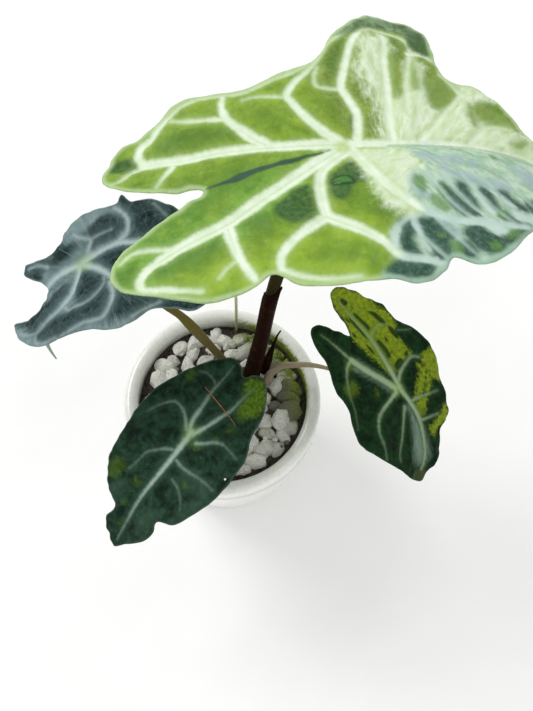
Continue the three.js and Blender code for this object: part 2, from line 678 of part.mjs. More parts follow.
const sheath = sweep(STALKS.top.course, SHEATH.steps, SHEATH.from, SHEATH.to, sheathSection);
const sheathSolid = toSolid(sheath).subtract(stalkRoom(STALKS.top, STALK_SIDES)).subtract(crownRoom);
addPiece('sheath', toGeometry(largestBody(sheathSolid)), materials.sheath);
const scaleLeaf = toSolid(stalkGeometry(SCALE_LEAF, STALK_SIDES)).subtract(crownRoom);
addPiece('scale_leaf', toGeometry(largestBody(scaleLeaf)), materials.sheath);
addPiece('spent_stalk', stalkGeometry(SPENT_STALK, TAIL_SIDES), materials.oliveStalk);

export default group;
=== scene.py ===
# The looks of a potted alocasia with four shield-shaped leaves, laid over its solid parts.
# Lengths are in millimetres here, and become metres where a mesh is made. +Z is up.
# +X is to the right and +Y to the back, as seen from the front.
import math

import bmesh
import bpy
import numpy as np
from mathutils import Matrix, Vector, geometry
from mathutils.kdtree import KDTree


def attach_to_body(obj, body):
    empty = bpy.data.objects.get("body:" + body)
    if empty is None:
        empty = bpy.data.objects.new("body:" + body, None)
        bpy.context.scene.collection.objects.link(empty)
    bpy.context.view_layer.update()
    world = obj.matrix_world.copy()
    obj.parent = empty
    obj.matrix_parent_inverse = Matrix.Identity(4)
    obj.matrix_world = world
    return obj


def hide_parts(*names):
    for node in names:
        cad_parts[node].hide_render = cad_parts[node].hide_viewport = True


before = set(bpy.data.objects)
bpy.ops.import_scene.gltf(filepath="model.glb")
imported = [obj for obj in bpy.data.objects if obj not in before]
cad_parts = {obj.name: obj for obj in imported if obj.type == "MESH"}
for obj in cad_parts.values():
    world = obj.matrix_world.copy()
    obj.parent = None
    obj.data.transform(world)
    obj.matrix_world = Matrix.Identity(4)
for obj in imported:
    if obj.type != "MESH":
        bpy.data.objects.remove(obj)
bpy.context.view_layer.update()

MM = 0.001
SPECULAR = "Specular IOR Level"

# How finely curves are cut, and how much the waves of a relief differ in length
SPAN_STEPS = 24
COURSE_STEP = 0.5
VEIN_STEP = 1.2
PATCH_STEP = 1.5
RIPPLE_SPREAD = (0.7, 1.6)

# Pot
POT_HEIGHT = 95
POT_RIM_RADIUS = 55
POT_MOUTH_RADIUS = 47.2
POT_BASE_RADIUS = 41
POT_WALL = 5
POT_FLOOR = 6
POT_LIP_DEPTH = 13
POT_LIP_STEP = 2.5
POT_BASE_EDGE = 2
POT_BASE_FLAT = 4
POT_INNER_CORNER = 3
POT_INNER_SWELL = 1.2
POT_STRAIGHT_BELOW_MIX = 12
POT_SIDES = 160
POT_CORNER_STEPS = 6
POT_WALL_STEPS = 24
POT_LIP_STEPS = 16
DRAIN_HOLES = 3
DRAIN_RADIUS = 4
DRAIN_CIRCLE_RADIUS = 22
DRAIN_SIDES = 32

# Algae inside the pot: the radii between which they end, and the heights of their top and foot
ALGAE = {
    "radius": (POT_MOUTH_RADIUS + 0.8, POT_MOUTH_RADIUS + 2.8),
    "top": (POT_HEIGHT - 3, POT_HEIGHT), "foot": (74, 80),
}

# Potting mix
MIX_TOP = 86
MIX_MOUND = 2
MIX_MOUND_POWER = 1.5
MIX_SINK = 0.8
MIX_EDGE = 1
MIX_RELIEF = ((0.5, 5), (0.35, 1.8))
MIX_SIDES = 150
MIX_RINGS = 40
CLEARANCE = 0.3

# Pumice stones
STONE_COUNT = 84
STONE_RADIUS = (3.9, 6.9)
STONE_STRETCH = (1, 1.35)
STONE_FLATTENING = (0.75, 0.95)
STONE_RISE = (-0.12, 0.23)
STONE_SEED = 11
STONE_REACH = 1.02
STONE_FLATS = 18
STONE_FLAT_DEPTHS = (0.72, 0.97)
STONE_LEAST_FACING = 0.05
STONE_RELIEF = ((0.03, 0.7), (0.02, 0.25))
BARK_SHADE = 1
BARK_SPOT = {"x": 37, "y": 1, "reach": 8.5}
GRIT_COUNT = 170
GRIT_RADIUS = (1.1, 2.3)
GRIT_STRETCH = (0.7, 1.2)
GRIT_RISE = (0.1, 1.2)
GRIT_WALL_ROOM = 4
GRIT_KEPT_FACES = 0.2

# The crown that carries the leaf stalks
CROWN = {"x": 14.5, "y": 11.5, "radius": 14, "top": 90.5, "bottom": 60}
CROWN_OUTLINE = [(0, 0), (0.5, 0), (0.86, 0.26), (1, 0.6), (1, 0.84), (0.8, 0.95), (0.45, 1), (0, 1)]
CROWN_OUTLINE_STEP = 0.05
CROWN_SIDES = 96
CROWN_LUMPS = {"rise": 0.3, "size": 5}
SCARS = {"depth": 0.25, "pitch": 2.6, "sway": 0.6}

# Leaf blades
BLADE_THICKNESS = 1.1
EDGE_ROUNDING = 1.2
RIB_WIDTH = 3
RIB_TAPER = 0.75
PUCKER_WIDTH = 7
WAVE_REACH = 9
FOLD_SPREAD = 0.06

# Low relief of the blades: the height of each kind, and its size, width or reach
QUILT = {"rise": 0.42, "size": {"top": 9, "left": 6, "front": 6, "right": 6}, "reach": (0.5, 5)}
GRAINING = {"rise": 0.06, "size": 2.6}
VEIN_GROOVE = {"depth": 0.55, "width": 1.8}
NET_GROOVE = {"depth": 0.03, "width": 0.8}
BUBBLE = {"rise": 0.8, "reach": (-0.8, 2.2)}

# Seeds of the repeatable draws
SEEDS = {
    "quilt": 5, "graining": 6, "veinlets": 3, "stalk": 21, "mix": 31, "crown": 41,
    "grit": 77, "stone_shape": 100, "grit_shape": 400, "grain_shape": 9,
}

# The four blades: where the stalk meets each one, how it is turned (degrees), how it bends
# (degrees over the given length), its outline from the notch between the lobes, and its main ribs.
LEAVES = {
    "top": {
        "attach": (55.6, 49, 262), "heading": 6, "pitch": -3, "roll": -8,
        "length": 100, "tip_bend": 30, "lobe_bend": 18, "arch": 0.1, "fold": 0.1,
        "rib_height": 2.2, "pucker": 1.6, "wave": 1.2, "waves": 13,
        "outline": [
            (-58, -16), (-70, -12.5), (-84, -9.5), (-94, -5), (-100, 2), (-98, 9), (-93, 18),
            (-84, 21), (-75, 24), (-64, 33), (-50, 35.5), (-36, 35.5), (-22, 40), (-8, 46), (-1, 54),
            (4, 62.5), (14, 70), (26, 78), (36, 81), (44, 76), (48.5, 65), (48, 52), (50, 42.5),
            (58, 39), (69, 40), (75, 34), (81, 25), (92, 15.5), (104, 12), (118, 9), (137, 6),
            (114, -8), (97, -20), (84, -32), (70, -43), (56, -56), (44, -61), (34, -57.5), (29, -64),
            (18, -70.5), (4, -68), (-12, -68), (-26, -67), (-35, -62), (-44, -67), (-58, -68.5),
            (-78, -62.5), (-92, -57), (-97, -48), (-93, -38), (-82, -31.5), (-69, -24.5),
        ],
        "ribs": [
            [(0, 0), (24, 1), (47, 3), (66, 4), (90, 3), (122, 4)],
            [(0, 0), (-17, 2), (-35, 5), (-58, 4), (-82, 4)],
            [(0, 0), (-24, -17), (-51, -35), (-75, -41), (-85, -50)],
            [(21, 4), (23, 24), (25, 47), (26, 63)],
            [(7, 2), (8, 15), (4, 32), (9, 47)],
            [(31, 4), (45, 18), (55, 31)],
            [(2, -4), (-10, -13), (-12, -24), (-13, -50)],
            [(4, -6), (9, -20), (19, -31), (28, -45)],
        ],
        "swells": [(22, 58, 3, 18), (34, 78, -5, 12), (-86, 12, -3, 14), (100, -14, -2, 16)],
    },
    "left": {
        "attach": (-62.3, 34.1, 190), "heading": 204, "pitch": -20, "roll": 8,
        "length": 60, "tip_bend": 35, "lobe_bend": 15, "arch": 0.12, "fold": 0.12,
        "rib_height": 1.6, "pucker": 2, "wave": 0.7, "waves": 9,
        "outline": [
            (-27, 19), (-36, 17), (-46, 17), (-53, 13), (-56, 6), (-53, 0), (-47.5, -7.5),
            (-41, -13.5), (-33, -17), (-29.7, -23), (-26, -20), (-12, -22.5), (0, -21.5), (8, -15.5),
            (16, -14), (24, -16.5), (30, -18.5), (33, -16), (30, -10.5), (24.5, -4), (23.5, 1.5),
            (28, 5.5), (35, 6.7), (44, 4), (53.5, -0.5), (52, 8), (43, 20.5), (33, 27), (22, 31),
            (8, 36), (-5, 43), (-16, 44.5), (-24, 43.5), (-33, 48), (-42, 53.3), (-49, 50), (-47, 43),
            (-38, 30),
        ],
        "ribs": [
            [(0, 0), (7, -1), (14, 0), (21, 3), (29, 9), (42, 13)],
            [(0, 0), (-10, -1), (-21, 1), (-36, 5), (-52, 6)],
            [(0, 0), (-8, 9), (-16, 22), (-26, 32), (-38, 42)],
            [(5, 3), (9, 12), (15, 16), (25, 18), (37, 18)],
        ],
        "swells": [(-4, -14, 2, 9), (-36, -8, 1.5, 9), (46, 0, -2, 8)],
        "tail": {
            "root": (34, 19),
            "course": [(-81, 2.2, 170), (-80.1, -0.1, 164), (-77.4, -3.6, 161)],
            "radii": [1.1, 1.1, 0.7, 0.35],
        },
    },
    "front": {
        "attach": (-13.6, -33.1, 135), "heading": 229, "pitch": -12, "roll": 6,
        "length": 60, "tip_bend": 22, "lobe_bend": 10, "arch": 0.12, "fold": 0.1,
        "rib_height": 1.6, "pucker": 1.6, "wave": 0.8, "waves": 10,
        "outline": [
            (-39, 2), (-42.5, -3), (-43, -10), (-34, -18), (-25, -22), (-18, -25.5), (-9, -29.5),
            (8, -30.5), (24, -29), (38, -25.5), (48, -19), (54.2, -8.6), (62, -10.2), (69, -5),
            (72.3, 1), (66, 7), (57.5, 14.5), (51, 16.5), (44, 15.6), (40, 23), (30, 27.8), (18, 32),
            (2, 32.5), (-9, 31.5), (-18, 26.5), (-30, 23.7), (-40, 17), (-44.7, 10), (-43, 5),
        ],
        "ribs": [
            [(0, 0), (14, 0), (34, -1), (52, 1), (68, 2)],
            [(0, 0), (-14, -2), (-26, -5), (-38, -8)],
            [(0, 0), (-14, 5), (-24, 10), (-37, 11)],
            [(12, -2), (15, -7), (22, -12), (36, -15)],
            [(14, 5), (16, 11), (14, 24)],
        ],
        "swells": [(20, -20, 1.5, 10), (-18, -14, 1.5, 9), (48, 8, 1.5, 8)],
    },
    "right": {
        "attach": (94, -5.6, 125), "heading": -51, "pitch": -20, "roll": -12,
        "length": 60, "tip_bend": 35, "lobe_bend": 12, "arch": 0.12, "fold": 0.12,
        "rib_height": 1.6, "pucker": 1.8, "wave": 0.8, "waves": 9,
        "outline": [
            (-37.5, -4), (-44, -0.8), (-54, -0.2), (-61, 3.5), (-62, 9), (-56, 15.5), (-47, 18.7),
            (-39, 22.6), (-29, 23.3), (-20, 29), (-8, 30.2), (1, 28.8), (11, 24.2), (17.5, 22),
            (22, 18.5), (28, 17), (31.5, 10.5), (37, 6.8), (45, 2), (47.2, -5), (47.3, -10.5),
            (50, -14.5), (45, -20), (35, -25), (25, -30.8), (17, -35), (8, -38.5), (-1, -36.5),
            (-9, -32.3), (-21, -31.2), (-31, -27.2), (-46, -23.6), (-52.5, -19), (-52, -14),
            (-45, -9.5),
        ],
        "ribs": [
            [(0, 0), (10, 2), (24, 0), (36, -6), (44, -13)],
            [(0, 0), (-15, 3), (-29, 5), (-44, 6), (-55, 7)],
            [(0, 0), (-13, -7), (-25, -12), (-36, -15), (-46, -16)],
            [(6, -3), (15, -8), (22, -16), (29, -23)],
        ],
        "swells": [(-20, 18, 1.5, 9), (12, -22, 1.5, 9), (18, 14, 1.5, 8)],
    },
}

# Side of the net's triangles on the upper and the lower face of each blade, and in such sides
# the height of a row and the room left along the rim
FACE_CELLS = {"top": (0.75, 1.8), "left": (0.6, 1.4), "front": (0.6, 1.4), "right": (0.6, 1.4)}
ROW_SHARE = 0.866
RIM_ROOM = 0.6

# Fine side veins: how far apart they leave a pale vein, their length, steps and clear room
VEINLET_SPACING = 4.2
VEINLET_LENGTH = (5, 13)
VEINLET_STEP = 0.5
VEINLET_ROOM = 1.1
VEINLET_START = (1, 3)
VEINLET_ANGLES = (60, 72)
VEINLET_BENDS = (0.01, 0.035)
VEINLET_SWAY = 0.03
VEINLET_RIM_ROOM = 1

# Pale veins on each blade: the course on the flat blade, and the half width at its start and end
VEINS = {
    "top": [
        ([(-3, 1.5), (20, 1.5), (50, 3.5), (90, 4.5), (122, 5.5), (135, 6)], 1.6, 0.4),
        ([(0, 1.5), (-15, 2.3), (-30, 3.2), (-50, 4.2), (-65, 4), (-75, 5.8), (-83, 7.5)], 2.2, 1.6),
        ([(-31, 5), (-36, 9), (-42, 15), (-46, 21), (-47, 27), (-46, 33)], 2.1, 0.7),
        ([(-46, 20), (-54, 21), (-61, 21.7), (-69, 23.7)], 0.9, 0.3),
        ([(-82, 7.5), (-84.5, 12), (-83, 16), (-78, 18), (-75, 21), (-70, 25), (-64, 30)], 1.5, 0.5),
        ([(-64, 30), (-57, 33), (-47, 33.6), (-38, 33), (-25, 37), (-14, 41), (-5, 48), (1, 57), (8, 62)],
         0.5, 0.5),
        ([(-81, 7), (-88, 4.5), (-92, 0), (-96, -1.5)], 0.8, 0.3),
        ([(-70, 2), (-74, -3), (-77, -8)], 0.9, 0.3),
        ([(0, 2), (-6, 7), (-12, 14), (-18, 24), (-19.5, 28), (-16, 34), (-11, 39), (-6, 45), (-3, 50)],
         1.8, 0.5),
        ([(-19, 27), (-27, 28.5), (-33, 29.5), (-38, 29)], 0.5, 0.2),
        ([(6.5, 2), (7.8, 10), (8.5, 17), (6, 25), (4, 32), (6, 40), (8.5, 48), (11.5, 56),
          (15, 61)], 1.5, 1.0),
        ([(4, 31), (-2, 31), (-6.5, 32), (-7, 37), (-5, 43)], 0.6, 0.3),
        ([(22, 3), (22, 12), (23, 22), (24, 32), (24.5, 45), (26, 55), (26, 61)], 1.3, 0.8),
        ([(31, 18), (32, 30), (34, 40), (36, 48), (37, 55), (34, 61), (28, 64), (20, 64.5),
          (14, 61)], 0.6, 0.5),
        ([(36, 50), (42, 51), (47, 48)], 0.9, 0.6),
        ([(33, 3), (41, 11), (49, 21), (55, 28), (59, 33)], 0.8, 0.6),
        ([(59, 33), (54, 38), (49, 41)], 0.6, 0.3),
        ([(57, 5), (63, 11), (69, 15.5), (78, 17)], 0.8, 0.3),
        ([(-1, -1), (-15, -10.5), (-25, -17.5), (-38, -26), (-50, -34), (-65, -40), (-77, -45.5)], 2.8, 2.2),
        ([(-76, -45), (-82, -48.5), (-85, -53), (-84, -58), (-75, -60), (-62, -63)], 1.7, 0.5),
        ([(-50, -36), (-48.5, -45), (-46, -54), (-42, -63)], 2.0, 0.9),
        ([(-48, -53), (-52, -55.5), (-55, -59)], 0.4, 0.2),
        ([(-70, -42), (-80, -39.5), (-88, -39.5), (-93, -43)], 0.9, 0.3),
        ([(1, -3), (-6, -8), (-11, -14), (-12.5, -24), (-12, -36)], 1.7, 1.7),
        ([(-12, -36), (-20, -42), (-27, -48), (-31.5, -54), (-32, -60)], 1.7, 1.0),
        ([(-32, -60), (-27, -62.5), (-17, -65), (-4, -65.5)], 0.9, 0.4),
        ([(-12, -36), (-4, -42), (3, -47), (8, -52), (12, -57.5), (22, -59.5), (30, -61)], 2.1, 0.9),
        ([(3, -1), (8, -11), (14, -21), (21, -29), (28, -35.5), (36, -39.5), (46, -40.5), (60, -40),
          (73, -38)],
         1.7, 0.8),
        ([(30, -12), (34, -21), (39, -31), (46, -39)], 0.6, 0.5),
        ([(38, -14), (41, -21), (46, -30), (53, -38)], 0.5, 0.4),
        ([(47, -14), (51, -22), (58, -32), (66, -38)], 0.4, 0.4),
        ([(56, -13), (60, -20), (68, -30), (76, -36)], 0.4, 0.4),
        ([(68, -12), (75, -22), (84, -30)], 0.3, 0.3),
        ([(10, -55), (11.5, -50), (14, -44), (20, -38)], 0.9, 0.6),
        ([(21, -37), (22.5, -45), (26, -52), (31, -58)], 0.8, 0.4),
        ([(31, -39), (35, -45), (40, -52), (45, -58)], 0.5, 0.3),
        ([(80, 2), (95, -5), (108, -10)], 0.4, 0.2),
    ],
    "left": [
        ([(0, 0), (8, -1.8), (16, -2.4), (23, -1)], 1.3, 1.0),
        ([(3, 1), (7, 8), (12, 12.5), (20, 15), (30, 15.6), (39, 16)], 1.3, 0.4),
        ([(39, 16), (44, 13), (49, 9)], 0.4, 0.2),
        ([(39, 16), (40.5, 20), (36, 24), (26, 28)], 0.35, 0.2),
        ([(0, -1), (-10, -1.5), (-20, -0.5), (-26, 3), (-34, 6), (-50, 6)], 1.6, 0.8),
        ([(-20, -1.5), (-25.5, -3.5), (-28, -8), (-27, -13), (-24.5, -17.5)], 1.0, 0.6),
        ([(-45.5, -1), (-44, -5), (-42.5, -9)], 0.2, 0.1),
        ([(0, 1), (-5, 6), (-8.5, 11), (-12, 17), (-20, 28), (-32, 40)], 1.4, 0.7),
        ([(-9.5, 18), (-9, 26), (-5, 31.5), (-1, 34), (3, 33.4), (8, 31.5), (15, 31), (22, 30)], 0.9, 0.3),
        ([(-8, 12), (-6, 18), (0, 21.5), (6, 22), (11, 20), (15, 19), (17, 15)], 0.35, 0.5),
        ([(-4, -4), (-8, -8), (-4, -11), (-1, -15)], 0.7, 0.5),
        ([(-8, -8.2), (-14, -8.4), (-19, -8)], 0.4, 0.2),
        ([(18, -9), (23, -13.5), (28, -15)], 0.5, 0.4),
        ([(-28, 41.5), (-20, 41.7), (-14, 42)], 0.4, 0.3),
    ],
    "front": [
        ([(-1, 0), (10, 0.4), (20, 0.4), (30, 0), (40, -0.5), (48, 0), (58, 0.5), (68, 1)], 1.5, 0.3),
        ([(0, -1), (-5, -3.5), (-15, -4.5), (-25, -6), (-32, -6), (-40, -6.3)], 1.0, 0.2),
        ([(-26, -6), (-28, -9), (-28.5, -14), (-27, -17)], 0.35, 0.15),
        ([(0, 1), (-7, 4), (-15, 6.5), (-22, 8.5), (-28, 9), (-36, 9.5)], 1.2, 0.3),
        ([(0, -3), (-4, -7), (-7, -12), (-7, -17), (-4, -20), (0, -22.5), (6, -25)], 0.7, 0.2),
        ([(12, -1.5), (14, -5), (18, -9), (22, -12), (28, -13), (34, -14.5)], 0.6, 0.2),
        ([(2, 6), (-1, 10), (-4, 13), (-6, 17), (-6, 22), (-5, 28)], 0.8, 0.2),
        ([(15, 3), (15.7, 8), (15, 14), (14, 20), (14, 28)], 0.6, 0.3),
        ([(23.5, 8), (25, 14), (28, 18), (32, 21)], 0.4, 0.2),
    ],
    "right": [
        ([(0, 1), (10, 1.6), (20, 1.2), (28, -0.8), (36, -4), (42, -9), (44, -12)], 1.1, 0.6),
        ([(0, 1.5), (-10, 3), (-20, 4.3), (-30, 5.4), (-40, 5.4), (-55, 5)], 1.1, 0.2),
        ([(-30, 6), (-32, 10), (-32.5, 13), (-30, 17)], 0.4, 0.2),
        ([(-24, 20), (-22, 23), (-20, 27)], 0.25, 0.15),
        ([(-3, 3), (-6, 7), (-8, 12), (-8.5, 17), (-6, 20)], 0.8, 0.5),
        ([(10, 2), (11, 8), (12.5, 13), (14, 18)], 0.7, 0.3),
        ([(22, 2), (23, 6), (24, 11)], 0.7, 0.4),
        ([(-1, -1), (-8, -4), (-15, -7.5), (-22, -10.5), (-27, -12.3)], 1.5, 1.4),
        ([(-27, -12.3), (-36, -14), (-47, -16.5)], 0.7, 0.2),
        ([(-27, -12.5), (-25, -18), (-20.5, -22.5), (-13, -27)], 0.8, 0.2),
        ([(-13, -27), (-6, -30), (2, -35)], 0.2, 0.1),
        ([(1, -2), (2, -10), (3, -17), (5, -22), (10, -26), (18, -27.5), (24, -30)], 1.0, 0.2),
        ([(10, -3), (16, -9), (22, -15), (28, -21), (31, -22.3)], 0.7, 0.3),
    ],
}

